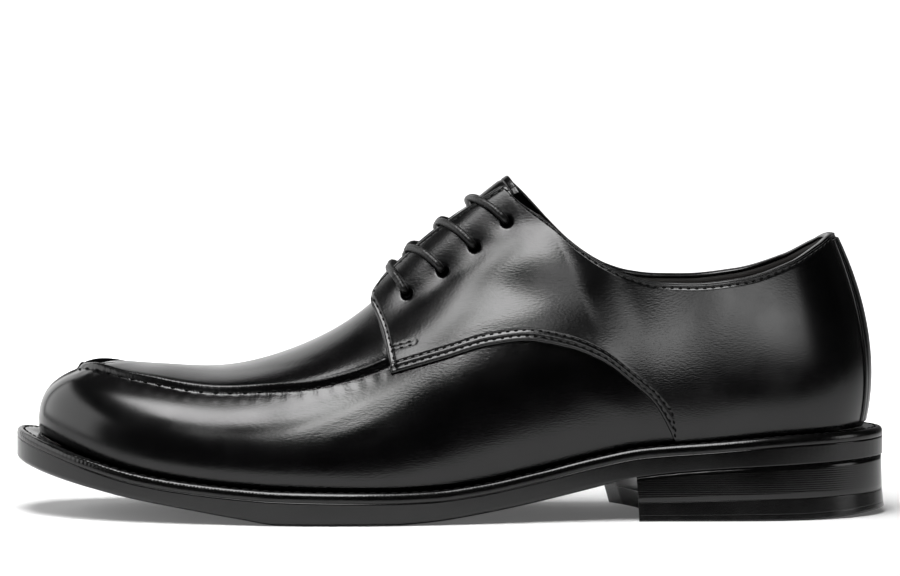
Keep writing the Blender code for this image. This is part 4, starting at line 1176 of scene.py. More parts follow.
def make_quarters():
    stretch = quarter_stations()
    outer = []
    inner = []
    grain = []
    holes = []
    share = crowded(QUARTER_ROWS, QUARTER_CROWDING)[None, :]
    for side, along in ((-1, stretch), (1, stretch[-2::-1])):
        low = quarter_low(side, along)[:, None]
        high = quarter_high(side, along)[:, None]
        rise = low + (high - low) * share
        place = np.broadcast_to(along[:, None], rise.shape).copy()
        outer.append(quarter_surface(side, place, rise, low, high))
        plain = low + (high - low) * np.linspace(0.0, 1.0, INNER_ROWS)[None, :]
        inner.append(quarter_point(side, along[:, None], plain, QUARTER_SHEET))
        grain.append(quarter_grain(place))
        holes.append(hole_shade(side, place, rise))
    outer = np.concatenate(outer)
    inner = np.concatenate(inner)
    points = np.concatenate([outer.reshape(-1, 3), inner.reshape(-1, 3)])
    behind = np.ones(inner.shape[0] * inner.shape[1])
    # The inside of each lace hole carries painted shade, which makes it lightless
    marks = {"grain": np.concatenate([np.concatenate(grain).ravel(), behind]),
             "dull": np.concatenate([np.concatenate(holes).ravel(), 0 * behind])}
    faces = sheet_faces(len(outer), outer.shape[1], INNER_ROWS)
    return make_piece("quarters", points, faces, LEATHER, (), marks)


LINING_COLUMNS = 200
LINING_ROWS = 34
LINING_SINK = 1.0
LINING_CROWDING = 0.5


def make_lining():
    """Lining of the whole upper, open at the throat, the collar and the sole."""
    stretch = last.half * crowded(LINING_COLUMNS, LINING_CROWDING)
    outer = []
    inner = []
    open_top = []
    for side, along in ((-1, stretch[::-1]), (1, stretch[1:])):
        top = vamp_high(side, along)
        rise = np.linspace(0.0, 1.0, LINING_ROWS)[None, :] * top[:, None]
        place = np.broadcast_to(along[:, None], rise.shape).copy()
        outer.append(last.raised(side, place, rise, np.full_like(rise, -LINING_SINK)))
        inner.append(last.raised(side, place, rise, np.full_like(rise, -VAMP_WALL)))
        open_top.append(top < 1.0)
    outer = np.concatenate(outer)
    inner = np.concatenate(inner)
    is_open = np.concatenate(open_top)
    faces = wall_faces(*outer.shape[:2], is_open[:-1] | is_open[1:], False)
    points = np.concatenate([outer.reshape(-1, 3), inner.reshape(-1, 3)])
    return make_piece("lining", points, faces, LINING)


BINDING_COLUMNS = 260
BINDING_SIDES = 14
BINDING_FRONT = 184.5
BINDING_HALF_WIDTH = 1.75
BINDING_HALF_HEIGHT = 0.70
BINDING_CENTRE = -0.10
BINDING_TAPER = (BINDING_FRONT - 0.5, BINDING_FRONT + 3.0)
BINDING_NARROW = 0.55
BINDING_GRAIN = 0.6


def make_collar_binding():
    """Folded strip over the collar's edge, from facing to facing round the heel."""
    stretch = np.linspace(BINDING_FRONT, last.half, BINDING_COLUMNS)
    angles = np.linspace(0.0, 2 * math.pi, BINDING_SIDES, endpoint=False)
    rings = []
    for side, along in ((-1, stretch), (1, stretch[-2::-1])):
        rise = quarter_high(side, along)
        centre = quarter_point(side, along, rise, 0.5 * (QUARTER_STEP + VAMP_WALL))
        out = last.normal(side, along, rise)
        climb = last.point(side, along, rise + RISE_NUDGE) - last.point(side, along, rise - RISE_NUDGE)
        climb /= np.linalg.norm(climb, axis=-1, keepdims=True)
        taper = smooth_step(along, *BINDING_TAPER)[:, None, None]
        width = BINDING_HALF_WIDTH * (BINDING_NARROW + (1 - BINDING_NARROW) * taper)
        across = np.cos(angles)[None, :, None] * out[:, None] * width
        upward = (np.sin(angles) * BINDING_HALF_HEIGHT + BINDING_CENTRE)[None, :, None] * climb[:, None]
        rings.append(centre[:, None] + across + upward)
    rings = np.concatenate(rings)
    faces = [list(face) for face in ring_faces(len(rings), BINDING_SIDES)]
    faces.append(list(range(BINDING_SIDES)))
    faces.append(list(range(rings.shape[0] * BINDING_SIDES - BINDING_SIDES, rings.shape[0] * BINDING_SIDES)))
    mesh_points = rings.reshape(-1, 3)
    return make_piece("collar_binding", mesh_points, faces, LEATHER, (),
                      {"grain": np.full(len(mesh_points), BINDING_GRAIN)})


BACK_STRIP_COLUMNS = 26
BACK_STRIP_ROWS = 60
BACK_STRIP_POWER = 1.4
BACK_STRIP_CROWDING = 0.7
BACK_STRIP_ROUND = 0.5
BACK_STRIP_GROOVE = 1.3
BACK_STRIP_SINK = 0.4
BACK_STRIP_GRAIN = 0.5


def make_back_strip():
    """Narrow strip over the joint of the quarters at the back of the heel."""
    share = np.linspace(0.0, 1.0, BACK_STRIP_COLUMNS) ** BACK_STRIP_POWER
    stretch = last.half - BACK_STRIP_HALF * (1 - share)
    outer = []
    inner = []
    for side, along in ((-1, stretch), (1, stretch[-2::-1])):
        low = quarter_low(side, along)[:, None] + BACK_STRIP_MARGIN
        high = quarter_high(side, along)[:, None] - BACK_STRIP_MARGIN
        rise = low + (high - low) * crowded(BACK_STRIP_ROWS, BACK_STRIP_CROWDING)[None, :]
        place = np.broadcast_to(along[:, None], rise.shape).copy()
        length_scale = last.rise_length(side, place, np.clip(rise, RISE_NUDGE, 1 - RISE_NUDGE))
        from_side = place - (last.half - BACK_STRIP_HALF)
        from_end = np.minimum(rise - low, high - rise) * length_scale
        inward = np.minimum(from_side, from_end)
        relief = BACK_STRIP_STEP - edge_drop(inward, BACK_STRIP_ROUND) + groove(from_side, BACK_STRIP_GROOVE)
        outer.append(quarter_point(side, place, rise, -relief))
        inner.append(quarter_point(side, place, rise, BACK_STRIP_SINK))
    outer = np.concatenate(outer)
    inner = np.concatenate(inner)
    points = np.concatenate([outer.reshape(-1, 3), inner.reshape(-1, 3)])
    return make_piece("back_strip", points, wall_faces(*outer.shape[:2]), LEATHER, (),
                      {"grain": np.full(len(points), BACK_STRIP_GRAIN)})


TONGUE_COLUMNS = 110
TONGUE_HALF_ROWS = 34
TONGUE_ROUND = 0.6
TONGUE_CROWDING = 0.6
TONGUE_POWER = 1.3
TONGUE_SCALE_RISE = 0.9
TONGUE_STITCH_ROW = 3.0
TONGUE_GRAIN = 1.0


def make_tongue():
    """Padded tongue under the facings, with a rounded edge and a stitched top."""
    along = TONGUE_FRONT + (TONGUE_TOP - TONGUE_FRONT) * crowded(TONGUE_COLUMNS, TONGUE_CROWDING)
    share = np.linspace(0.0, 1.0, TONGUE_HALF_ROWS) ** TONGUE_POWER
    climb = TONGUE_EDGE_RISE + (1 - TONGUE_EDGE_RISE) * share
    outer = []
    inner = []
    for side, rise in ((-1, climb), (1, climb[-2::-1])):
        place = np.broadcast_to(along[:, None], (len(along), len(rise))).copy()
        level = np.broadcast_to(rise[None, :], place.shape).copy()
        from_ridge = (1 - level) / (1 - TONGUE_EDGE_RISE)
        thickness = TONGUE_EDGE_THICKNESS + TONGUE_PADDING * (1 - from_ridge ** 2)
        length_scale = last.rise_length(side, place, np.full_like(level, TONGUE_SCALE_RISE))
        from_edge = (level - TONGUE_EDGE_RISE) * length_scale
        from_top = TONGUE_TOP - place
        inward = np.minimum(np.minimum(from_edge, from_top), place - TONGUE_FRONT)
        relief = groove(from_top, TONGUE_STITCH_ROW) + groove(from_edge, TONGUE_STITCH_ROW)
        relief = relief - edge_drop(inward, TONGUE_ROUND)
        outer.append(last.raised(side, place, level, TONGUE_GAP + thickness + relief))
        inner.append(last.raised(side, place, level, np.full_like(place, TONGUE_GAP)))
    outer = np.concatenate(outer, 1)
    inner = np.concatenate(inner, 1)
    points = np.concatenate([outer.reshape(-1, 3), inner.reshape(-1, 3)])
    piece = make_piece("padded_tongue", points, wall_faces(*outer.shape[:2]), LEATHER,
                       ("tongue",), {"grain": np.full(len(points), TONGUE_GRAIN)})
    return piece


# Laces

CORD_SIDES = 20
CORD_STEP = 0.28
BRAID_PITCH = 2.6
BRAID_STRANDS = 4
BRAID_DEPTH = 0.07
HOLE_SINK = 1.0
HOLE_LEAVE = 0.25
HOLE_SHIFT = 0.10
CORD_REST = 0.15
CROSS_RISE = -1.8
EDGE_PRESS = -0.8
DIVE_BEFORE = 0.012
DIVE_DROP = 1.2
DIVE_UNDER = 0.03
UNDER_FACING = 1.8
ROUTE_STEPS = 8
CORD_UP = (0.0, 0.3, 1.0)


def over_facing(side, along, rise, clearance=LACE_CLEARANCE):
    """Centre of a lace that lies on the facing."""
    return quarter_point(side, along, rise, -(CORD_RADIUS + clearance))


def facing_edge(side, along):
    return quarter_high(side, np.array([float(along)]))[0]


def out_of_hole(side, hole, towards):
    """First points of a strand: deep in its hole, then bending out over the facing."""
    along = hole[0] + HOLE_SHIFT * (towards[0] - hole[0])
    rise = hole[1] + HOLE_SHIFT * (towards[1] - hole[1])
    deep = quarter_point(side, along, rise, HOLE_SINK)
    mouth = quarter_point(side, along, rise, -0.5 * LACE_RADIUS)
    bent_along = along + HOLE_LEAVE * (towards[0] - along)
    bent_rise = rise + HOLE_LEAVE * (towards[1] - rise)
    return [deep, mouth, over_facing(side, bent_along, bent_rise, CORD_REST)]


def lace_bar_route(hole):
    along, rise = hole
    edge = facing_edge(-1, along)
    middle = last.raised(-1, along, 1.0, QUARTER_STEP + FACING_LIFT + CROSS_RISE)
    half_way = 0.5 * (rise + edge)
    near = out_of_hole(-1, hole, (along, edge))
    near += [over_facing(-1, along, half_way), over_facing(-1, along, edge, EDGE_PRESS)]
    far = [over_facing(1, along, edge, EDGE_PRESS), over_facing(1, along, half_way)]
    far += out_of_hole(1, hole, (along, edge))[::-1]
    return smooth_route(near + [middle] + far, ROUTE_STEPS)


def lace_crossing_route(side, hole, hole_before):
    """Strand from a hole, over its facing's edge, across the gap and down under the other facing."""
    along, rise = hole
    run = along - hole_before[0]
    bend = along - STRAND_BEND * run
    over = along - STRAND_OVER_EDGE * run
    cross = along - STRAND_CROSS * run
    dive = along - STRAND_DIVE * run
    end = along - STRAND_END * run
    top = QUARTER_STEP + FACING_LIFT
    half_way = 0.5 * (rise + facing_edge(side, along))
    far_edge = facing_edge(-side, dive)
    return smooth_route(out_of_hole(side, hole, (bend, half_way)) + [
        over_facing(side, bend, half_way, CORD_REST),
        over_facing(side, over, facing_edge(side, over), EDGE_PRESS),
        last.raised(side, cross, 1.0, top + CROSS_RISE),
        last.raised(-side, dive, far_edge + DIVE_BEFORE, top - DIVE_DROP),
        last.raised(-side, end, far_edge - DIVE_UNDER, UNDER_FACING),
        last.raised(-side, end, far_edge - 2 * DIVE_UNDER, UNDER_FACING),
    ], ROUTE_STEPS)


def braided_cord(route):
    """Rings of points round a route, pushed out where the braid's strands lie on top."""
    path, far = even_route(route, CORD_STEP)
    tangent = np.gradient(path, axis=0)
    tangent /= np.linalg.norm(tangent, axis=1, keepdims=True)
    side = np.cross(tangent[0], CORD_UP)
    angles = np.linspace(0.0, 2 * math.pi, CORD_SIDES, endpoint=False)
    rings = []
    for k in range(len(path)):
        side = side - tangent[k] * np.dot(side, tangent[k])
        side /= np.linalg.norm(side)
        up = np.cross(tangent[k], side)
        turn = 2 * math.pi * far[k] / BRAID_PITCH
        weave = np.sin(turn + BRAID_STRANDS * angles) * np.sin(turn - BRAID_STRANDS * angles)
        radius = CORD_RADIUS + BRAID_DEPTH * weave
        around = np.cos(angles)[:, None] * side + np.sin(angles)[:, None] * up
        rings.append(path[k] + radius[:, None] * around)
    return np.array(rings)


def make_lace(name, routes, node):
    points = []
    faces = []
    for route in routes:
        rings = braided_cord(route)
        start = sum(len(block) for block in points)
        count = len(rings) * CORD_SIDES
        faces += [list(face + start) for face in ring_faces(len(rings), CORD_SIDES)]
        faces.append(list(range(start, start + CORD_SIDES)))
        faces.append(list(range(start + count - CORD_SIDES, start + count)))
        points.append(rings.reshape(-1, 3))
    return make_piece(name, np.concatenate(points), faces, CORD, (node,))


def make_laces():
    make_lace("lace_bar_front", [lace_bar_route(HOLES[0])], "lace_bar_1")
    for number in range(1, len(HOLES)):
        routes = [lace_crossing_route(side, HOLES[number], HOLES[number - 1]) for side in (-1, 1)]
        make_lace(f"lace_crossing_{number + 1}", routes, f"lace_cross_{number + 1}")


# Sole and heel

RingPoint = namedtuple("RingPoint", "inset height edge")
SOLE_STATIONS = 420
CROSS_ROWS = 9
WELT_SECTION = [
    RingPoint(0.20, -WELT_THICKNESS, 0.0), RingPoint(0.06, -3.25, 0.6), RingPoint(0.0, -2.8, 1.0),
    RingPoint(0.0, -2.1, 1.0), RingPoint(0.10, -1.4, 1.0), RingPoint(0.30, -0.85, 0.8),
    RingPoint(0.62, -0.42, 0.5), RingPoint(1.05, -0.14, 0.2), RingPoint(1.55, 0.0, 0.0),
    RingPoint(2.0, -0.10, 0.0), RingPoint(2.5, -0.32, 0.0), RingPoint(3.0, -0.10, 0.0),
    RingPoint(3.5, 0.0, 0.0), RingPoint(5.0, 0.0, 0.0),
]
WELT_WHEEL_PITCH = 3.6
WELT_WHEEL_DEPTH = 0.10
WELT_WHEEL_REACH = 2.6
# Insets over which the welt's top fades into painted shade, lightless like the gap under the upper
WELT_PAINTED_SHADE = (1.3, 2.6)
WELT_TEXTURE_FADE = (-110.0, -20.0)
WELT_TEXTURE_LOSS = 0.85
WELT_WHEEL_START = 0.3
WELT_WHEEL_POWER = 3
WELT_WHEEL_LOWEST = -1.0
STATION_CROWDING = 0.5


def shoe_stations(count, start=0.0):
    return start + (last.half - start) * crowded(count, STATION_CROWDING)


def welt_texture(x):
    """Strength of the wheel's marks on the rim: clear at the toe, faint behind the tread."""
    return 1 - WELT_TEXTURE_LOSS * smooth_step(x, *WELT_TEXTURE_FADE)


def make_welt():
    """Ledge of leather round the sole, its rim wheeled between the stitches."""
    stretch = np.linspace(0.0, last.half, SOLE_STATIONS)
    rings = []
    runs = []
    edges = []
    painted_recess_shades = []
    for side, along in ((-1, stretch), (1, stretch[-2:0:-1])):
        ledge = last.ledge(side, along)
        columns = []
        for point in WELT_SECTION:
            near_rim = 1 - smooth_step(point.inset, WELT_WHEEL_START, WELT_WHEEL_REACH)
            wave = 0.5 + 0.5 * np.cos(2 * math.pi * along / WELT_WHEEL_PITCH)
            wheel = -WELT_WHEEL_DEPTH * near_rim * wave ** WELT_WHEEL_POWER
            wheel = wheel * (point.height > WELT_WHEEL_LOWEST) * welt_texture(TOE_X + along)
            plan = last.edge(side, along, point.inset)
            columns.append(np.concatenate([plan, (welt_top(plan[:, 0]) + point.height + wheel)[:, None]], 1))
        for height in (0.0, -WELT_THICKNESS):
            plan = last.edge(side, along, ledge + WELT_INSIDE)
            columns.append(np.concatenate([plan, (welt_top(plan[:, 0]) + height)[:, None]], 1))
        columns = np.stack(columns, 1)
        rings.append(columns)
        runs.append(np.broadcast_to(along[:, None], columns.shape[:2]))
        marks = [point.edge for point in WELT_SECTION] + [0.0, 0.0]
        edges.append(np.array(marks)[None, :] * welt_texture(columns[:, :1, 0]))
        # The welt's top inside its rim gets painted shade for the dark gap under the upper
        dull = [smooth_step(point.inset, *WELT_PAINTED_SHADE) for point in WELT_SECTION] + [1.0, 1.0]
        painted_recess_shades.append(np.broadcast_to(np.array(dull)[None, :], columns.shape[:2]))
    rings = np.concatenate(rings)
    faces = ring_faces(len(rings), rings.shape[1], closed=True)
    marks = {"run": np.concatenate(runs), "edge": np.concatenate(edges), "dull": np.concatenate(painted_recess_shades)}
    return make_piece("stitched_welt", rings.reshape(-1, 3), faces, WELT_LEATHER,
                      ("welt",), marks)


def outline_numbers(columns, rows):
    """Point numbers round the rim of a grid."""
    numbers = np.arange(columns * rows).reshape(columns, rows)
    return np.concatenate([numbers[:, 0], numbers[-1, 1:], numbers[-2::-1, -1], numbers[0, -2:0:-1]])


def plate_faces(levels, columns, rows):
    """Quads of a plate of stacked grids: the first and last as caps, and the rims between."""
    count = columns * rows
    rim = outline_numbers(columns, rows)
    faces = [grid_faces(columns, rows), grid_faces(columns, rows, (levels - 1) * count)[:, ::-1]]
    for k in range(levels - 1):
        first = np.append(rim, rim[0]) + k * count
        faces.append(strip_faces(first, first + count))
    return np.concatenate(faces)


def sole_grid(stations, inset, height):
    """Level of a plate with points across it from the lateral to the medial edge."""
    insets = [inset(side) if callable(inset) else inset for side in (-1, 1)]
    lateral, medial = (last.edge(side, stations, own) for side, own in zip((-1, 1), insets))
    share = np.linspace(0.0, 1.0, CROSS_ROWS)[None, :, None]
    plan = lateral[:, None] * (1 - share) + medial[:, None] * share
    return np.concatenate([plan, height(plan[..., 0])[..., None]], -1)


def outsole_top(x):
    return welt_top(x) - WELT_THICKNESS - JOINT_GAP


def sole_edge_bottom(x):
    """Lower edge of the sole's side, rounded up from the underside except under the heel seat."""
    return sole_under(x) + SOLE_EDGE_ROUND * (1 - smooth_step(x, HEEL_FRONT_X, BREAST_LATERAL[0]))


OUTSOLE_STATIONS = 300
OutsolePoint = namedtuple("OutsolePoint", "inset from_top share")
OUTSOLE_SECTION = [
    OutsolePoint(0.22, 0.0, 0.0), OutsolePoint(0.06, -0.08, 0.0), OutsolePoint(0.0, -0.3, 0.0),
    OutsolePoint(0.0, -0.6, 0.0), OutsolePoint(0.0, 0.0, 0.35), OutsolePoint(0.0, 0.0, 0.75),
    OutsolePoint(0.0, 0.0, 0.95), OutsolePoint(0.0, 0.0, 1.0),
]
UNDERSIDE = [(0.35, 0.55), (1.2, 0.22), (2.3, 0.05), (SOLE_EDGE_INSET, 0.0)]
CHANNEL = [(6.0, 0.0), (6.4, 0.3), (7.2, 0.3), (7.6, 0.0)]


def make_outsole():
    """Leather sole with a rounded joint at the welt, a bevelled lower edge and a stitch channel under it."""
    stations = shoe_stations(OUTSOLE_STATIONS)
    levels = []
    edges = []
    for point in OUTSOLE_SECTION:
        def side_height(x, point=point):
            top = outsole_top(x) + point.from_top
            return top + (sole_edge_bottom(x) - top) * point.share
        levels.append(sole_grid(stations, point.inset, side_height))
        edges.append(1.0)
    for inset, share in UNDERSIDE:
        def bevel_height(x, share=share):
            return sole_under(x) + (sole_edge_bottom(x) - sole_under(x)) * share
        levels.append(sole_grid(stations, inset, bevel_height))
        edges.append(0.5)
    for inset, depth in CHANNEL:
        levels.append(sole_grid(stations, inset, lambda x, depth=depth: sole_under(x) + depth))
        edges.append(0.0)
    points = np.array(levels)
    faces = plate_faces(len(levels), OUTSOLE_STATIONS, CROSS_ROWS)
    run = np.broadcast_to(stations[None, :, None], points.shape[:3])
    edge = np.broadcast_to(np.array(edges)[:, None, None], points.shape[:3])
    return make_piece("edged_outsole", points.reshape(-1, 3), faces, SOLE_LEATHER,
                      ("outsole",), {"run": run, "edge": edge})


SOCK_STATIONS = 160
SOCK_CUP = 1.6
SOCK_CUP_POWER = 4


def make_sock():
    """Leather sock over the insole, cupped a little at its edge."""
    stations = shoe_stations(SOCK_STATIONS)

    def inside(distance):
        return lambda side: last.ledge(side, stations) + distance

    wide = inside(INSOLE_CLEARANCE)
    narrow = inside(WELT_INSIDE + SEAT_GAP)
    top = sole_grid(stations, wide, lambda x: welt_top(x) + INSOLE_RISE)
    share = np.linspace(-1.0, 1.0, CROSS_ROWS)[None, :]
    top[..., 2] += SOCK_CUP * share ** SOCK_CUP_POWER
    levels = np.array([
        top,
        sole_grid(stations, wide, lambda x: welt_top(x) + SEAT_GAP),
        sole_grid(stations, narrow, lambda x: welt_top(x) + SEAT_GAP),
        sole_grid(stations, narrow, lambda x: outsole_top(x) + 2 * SEAT_GAP),
    ])
    faces = plate_faces(len(levels), SOCK_STATIONS, CROSS_ROWS)
    return make_piece("sock_lining", levels.reshape(-1, 3), faces, LINING, ("insole",))


def top_piece_top(x):
    return TOP_PIECE_HEIGHT + TOP_PIECE_SLOPE * (x - BREAST_LATERAL[0])


def heel_ground(x):
    """Underside of the heel: flat, and rolled up a little at the back."""
    share = np.clip((x - HEEL_ROLL_START_X) / (HEEL_BACK_X - HEEL_ROLL_START_X), 0.0, 1.0)
    return HEEL_ROLL_RISE * share ** HEEL_ROLL_POWER


def breast_x(y, z):
    """Front face of the heel: a leaning round hollow."""
    lateral = np.array(BREAST_LATERAL)
    medial = np.array(BREAST_MEDIAL)
    chord = medial - lateral
    half = np.linalg.norm(chord) / 2
    radius = (half ** 2 + BREAST_HOLLOW ** 2) / (2 * BREAST_HOLLOW)
    forward = np.array([-chord[1], chord[0]]) / np.linalg.norm(chord)
    centre = (lateral + medial) / 2 + forward * (radius - BREAST_HOLLOW)
    across = y - centre[1] - BOX_SHIFT_Y
    lean = np.interp(y, (lateral[1], medial[1]), BREAST_LEANS)
    return centre[0] - z * np.tan(lean) + np.sqrt(radius ** 2 - across ** 2)


HEEL_STATIONS = 150
HEEL_FRONT_FADE = 3
BREAST_STEPS = 3


def heel_grid(inset, height):
    """Level of the heel, from its hollow breast to its back."""
    whole = np.linspace(0.5 * last.half, last.half, SOLE_STATIONS)
    sides = []
    for side in (-1, 1):
        plan = last.edge(side, whole, inset)
        ahead = plan[:, 0] - breast_x(plan[:, 1], height(plan[:, 0]))
        start = np.interp(0.0, ahead, whole)
        sides.append(last.edge(side, shoe_stations(HEEL_STATIONS, start), inset))
    share = np.linspace(0.0, 1.0, CROSS_ROWS)[None, :, None]
    plan = sides[0][:, None] * (1 - share) + sides[1][:, None] * share
    front = plan[0].copy()
    for _ in range(BREAST_STEPS):
        front[1:-1, 0] = breast_x(front[1:-1, 1], height(front[1:-1, 0]))
    fade = (1 - np.linspace(0.0, 1.0, HEEL_STATIONS)) ** HEEL_FRONT_FADE
    plan = plan + (front - plan[0])[None, :] * fade[:, None, None]
    return np.concatenate([plan, height(plan[..., 0])[..., None]], -1)


HEEL_LEVELS = 7
TOP_PIECE_PROFILE = [
    (0.0, 0.02), (0.02, 0.0), (0.05, 0.0), (0.655, 0.0), (0.68, 0.0), (0.70, 0.03), (0.72, 0.0), (0.745, 0.0),
    (0.90, 0.0), (0.95, 0.0), (0.985, 0.08), (1.0, 0.3),
]


def make_heel_stack():
    """Lifts of pressed leather, trimmed and burnished to one smooth wall."""
    levels = []
    drops = []
    for share in np.linspace(0.0, 1.0, HEEL_LEVELS):
        def height(x, share=share):
            top = sole_under(x) - JOINT_GAP
            return top + (top_piece_top(x) + JOINT_GAP - top) * share
        inset = HEEL_TOP_INSET + (HEEL_BOTTOM_INSET - HEEL_TOP_INSET) * share
        grid = heel_grid(inset, height)
        levels.append(grid)
        drops.append(grid[..., 2])
    points = np.array(levels)
    faces = plate_faces(len(levels), HEEL_STATIONS, CROSS_ROWS)
    return make_piece("heel_lifts", points.reshape(-1, 3), faces, HEEL_LEATHER,
                      ("heel_stack",), {"drop": np.array(drops)})


def make_top_piece():
    levels = []
    for share, dip in TOP_PIECE_PROFILE:
        def height(x, share=share):
            return top_piece_top(x) + (heel_ground(x) - top_piece_top(x)) * share
        inset = HEEL_BOTTOM_INSET + (TOP_PIECE_FLARE - HEEL_BOTTOM_INSET) * share + dip
        levels.append(heel_grid(inset, height))
    points = np.array(levels)
    faces = plate_faces(len(levels), HEEL_STATIONS, CROSS_ROWS)
    return make_piece("heel_top_piece", points.reshape(-1, 3), faces, HEEL_RUBBER,
                      ("top_piece",))


# Stitching

StitchRun = namedtuple("StitchRun", "points normals pitch")
ThreadSize = namedtuple("ThreadSize", "length thickness")
UPPER_THREAD = ThreadSize(1.5, 0.8)
APRON_THREAD = ThreadSize(2.0, 0.9)
WELT_THREAD = ThreadSize(2.9, 0.8)
THREAD_SEGMENTS = 8
THREAD_RINGS = 5
THREAD_UNIT_RADIUS = 0.5
TREE_INPUTS = (("Geometry", "Geometry"), ("Length", "Float"), ("Thickness", "Float"), ("Thread", "Material"))


def stitch_tree():
    """Geometry tree that lays one short thread along each point's run, flat on the leather."""
    tree = bpy.data.node_groups.new("thread_stitches", "GeometryNodeTree")
    for label, kind in TREE_INPUTS:
        tree.interface.new_socket(label, in_out="INPUT", socket_type=f"NodeSocket{kind}")
    tree.interface.new_socket("Geometry", in_out="OUTPUT", socket_type="NodeSocketGeometry")
    inside = add_node(tree, "NodeGroupInput")
    outside = add_node(tree, "NodeGroupOutput")
    thread = add_node(tree, "GeometryNodeMeshUVSphere")
    thread.inputs["Segments"].default_value = THREAD_SEGMENTS
    thread.inputs["Rings"].default_value = THREAD_RINGS
    thread.inputs["Radius"].default_value = THREAD_UNIT_RADIUS
    size = add_node(tree, "ShaderNodeCombineXYZ")
    for axis, label in zip("XYZ", ("Length", "Thickness", "Thickness")):
        feed(tree, size.inputs[axis], inside.outputs[label])
    turns = []
    for mark, axis, pivot in (("run_way", "X", "AUTO"), ("out_way", "Z", "X")):
        read = add_node(tree, "GeometryNodeInputNamedAttribute", data_type="FLOAT_VECTOR")
        read.inputs["Name"].default_value = mark
        turn = add_node(tree, "FunctionNodeAlignRotationToVector", axis=axis, pivot_axis=pivot)
        feed(tree, turn.inputs["Vector"], read.outputs["Attribute"])
        if turns:
            feed(tree, turn.inputs["Rotation"], turns[-1].outputs["Rotation"])
        turns.append(turn)
    copies = add_node(tree, "GeometryNodeInstanceOnPoints")
    feed(tree, copies.inputs["Points"], inside.outputs["Geometry"])
    feed(tree, copies.inputs["Instance"], thread.outputs["Mesh"])
    feed(tree, copies.inputs["Rotation"], turns[-1].outputs["Rotation"])
    feed(tree, copies.inputs["Scale"], size.outputs["Vector"])
    whole = add_node(tree, "GeometryNodeRealizeInstances")
    feed(tree, whole.inputs["Geometry"], copies.outputs["Instances"])
    smooth = add_node(tree, "GeometryNodeSetShadeSmooth")
    feed(tree, smooth.inputs["Geometry"], whole.outputs["Geometry"])
    finish = add_node(tree, "GeometryNodeSetMaterial")
    feed(tree, finish.inputs["Geometry"], smooth.outputs["Geometry"])
    feed(tree, finish.inputs["Material"], inside.outputs["Thread"])
    feed(tree, outside.inputs["Geometry"], finish.outputs["Geometry"])
    return tree


STITCH_TREE = stitch_tree()


def stitch_places(run):
    """Middle, direction and outward normal of each stitch of a row."""
    far, places = along_route(run.points, run.pitch)
    runs = (run.points, np.gradient(run.points, axis=0), run.normals)
    middle, direction, outward = (read_route(places, far, values) for values in runs)
    direction /= np.linalg.norm(direction, axis=1, keepdims=True)
    return middle, direction, outward


def make_stitching(name, runs, size):
    """One piece of thread with a stitch at each place of its rows."""
    middle, direction, outward = (np.concatenate(part) for part in zip(*(stitch_places(run) for run in runs)))
    mesh = bpy.data.meshes.new(f"{name}_places")
    mesh.from_pydata((middle * MM).tolist(), [], [])
    for mark, values in (("run_way", direction), ("out_way", outward)):
        layer = mesh.attributes.new(mark, "FLOAT_VECTOR", "POINT")
        layer.data.foreach_set("vector", values.astype(np.float32).ravel())
    places = add_object(f"{name}_places", mesh)
    modifier = places.modifiers.new("stitches", "NODES")
    modifier.node_group = STITCH_TREE
    settings = {"Length": size.length * MM, "Thickness": size.thickness * MM, "Thread": THREAD}
    for item in STITCH_TREE.interface.items_tree:
        if item.in_out == "INPUT" and item.name in settings:
            modifier[item.identifier] = settings[item.name]
    depsgraph = bpy.context.evaluated_depsgraph_get()
    thread = bpy.data.meshes.new_from_object(places.evaluated_get(depsgraph))
    bpy.data.objects.remove(places)
    piece = add_object(name, thread)
    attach(piece, BODY)
    return piece


ROW_RISES = (0.02, 0.98)
LOW_ROW_START = QUARTER_FRONT + 1.5
LOW_ROW_POINTS = 240
FACING_ROW = (QUARTER_FRONT + 2.5, 183.0)
FACING_ROW_POINTS = 200
COLLAR_ROW_START = 184.0
COLLAR_ROW_POINTS = 260
FRONT_ROW_SHARES = (0.03, 0.93)
FRONT_ROW_POINTS = 80
TACK_POINTS = 30
TACK_OFFSETS = (-0.5, 0.5)
APRON_ROW_END = QUARTER_FRONT - 2.0
APRON_ROW_POINTS = 300
WELT_ROW_MARGIN = 1.0
WELT_ROW_POINTS = 600
WELT_ROW_INSET = 2.5
WELT_ROW_SINK = 0.15


def quarter_row(side, along, from_low=None, from_high=None):
    """Stitch row on a quarter at a distance in from its lower or upper edge."""
    low = quarter_low(side, along)
    high = quarter_high(side, along)
    if from_low is not None:
        scale = last.rise_length(side, along, np.clip(low, *ROW_RISES)) * low_edge_slant(side, along)
        rise = low + from_low / scale
    else:
        scale = last.rise_length(side, along, np.clip(high, *ROW_RISES))
        rise = high - from_high / scale
    points = quarter_surface(side, along, rise, low, high)
    return StitchRun(points, last.normal(side, along, rise), STITCH_PITCH)


def front_row(side):
    """Stitch row down the front edge of a facing."""
    share = np.linspace(*FRONT_ROW_SHARES, FRONT_ROW_POINTS)
    along = np.full_like(share, QUARTER_FRONT + SIDE_STITCH_ROW)
    low = quarter_low(side, along)
    high = quarter_high(side, along)
    rise = low + (high - low) * share
    points = quarter_surface(side, along, rise, low, high)
    return StitchRun(points, last.normal(side, along, rise), STITCH_PITCH)


def bar_tack_row(side, offset):
    """Short row of stitches behind the lower front corner of a facing."""
    start, end = TACK_ENDS
    share = np.linspace(0.0, 1.0, TACK_POINTS)
    along = start[0] + (end[0] - start[0]) * share
    rise = start[1] + (end[1] - start[1]) * share
    rise = rise + offset * BAR_TACK_GAP / last.rise_length(side, along, rise)
    points = quarter_surface(side, along, rise, quarter_low(side, along), quarter_high(side, along))
    return StitchRun(points, last.normal(side, along, rise), STITCH_PITCH)


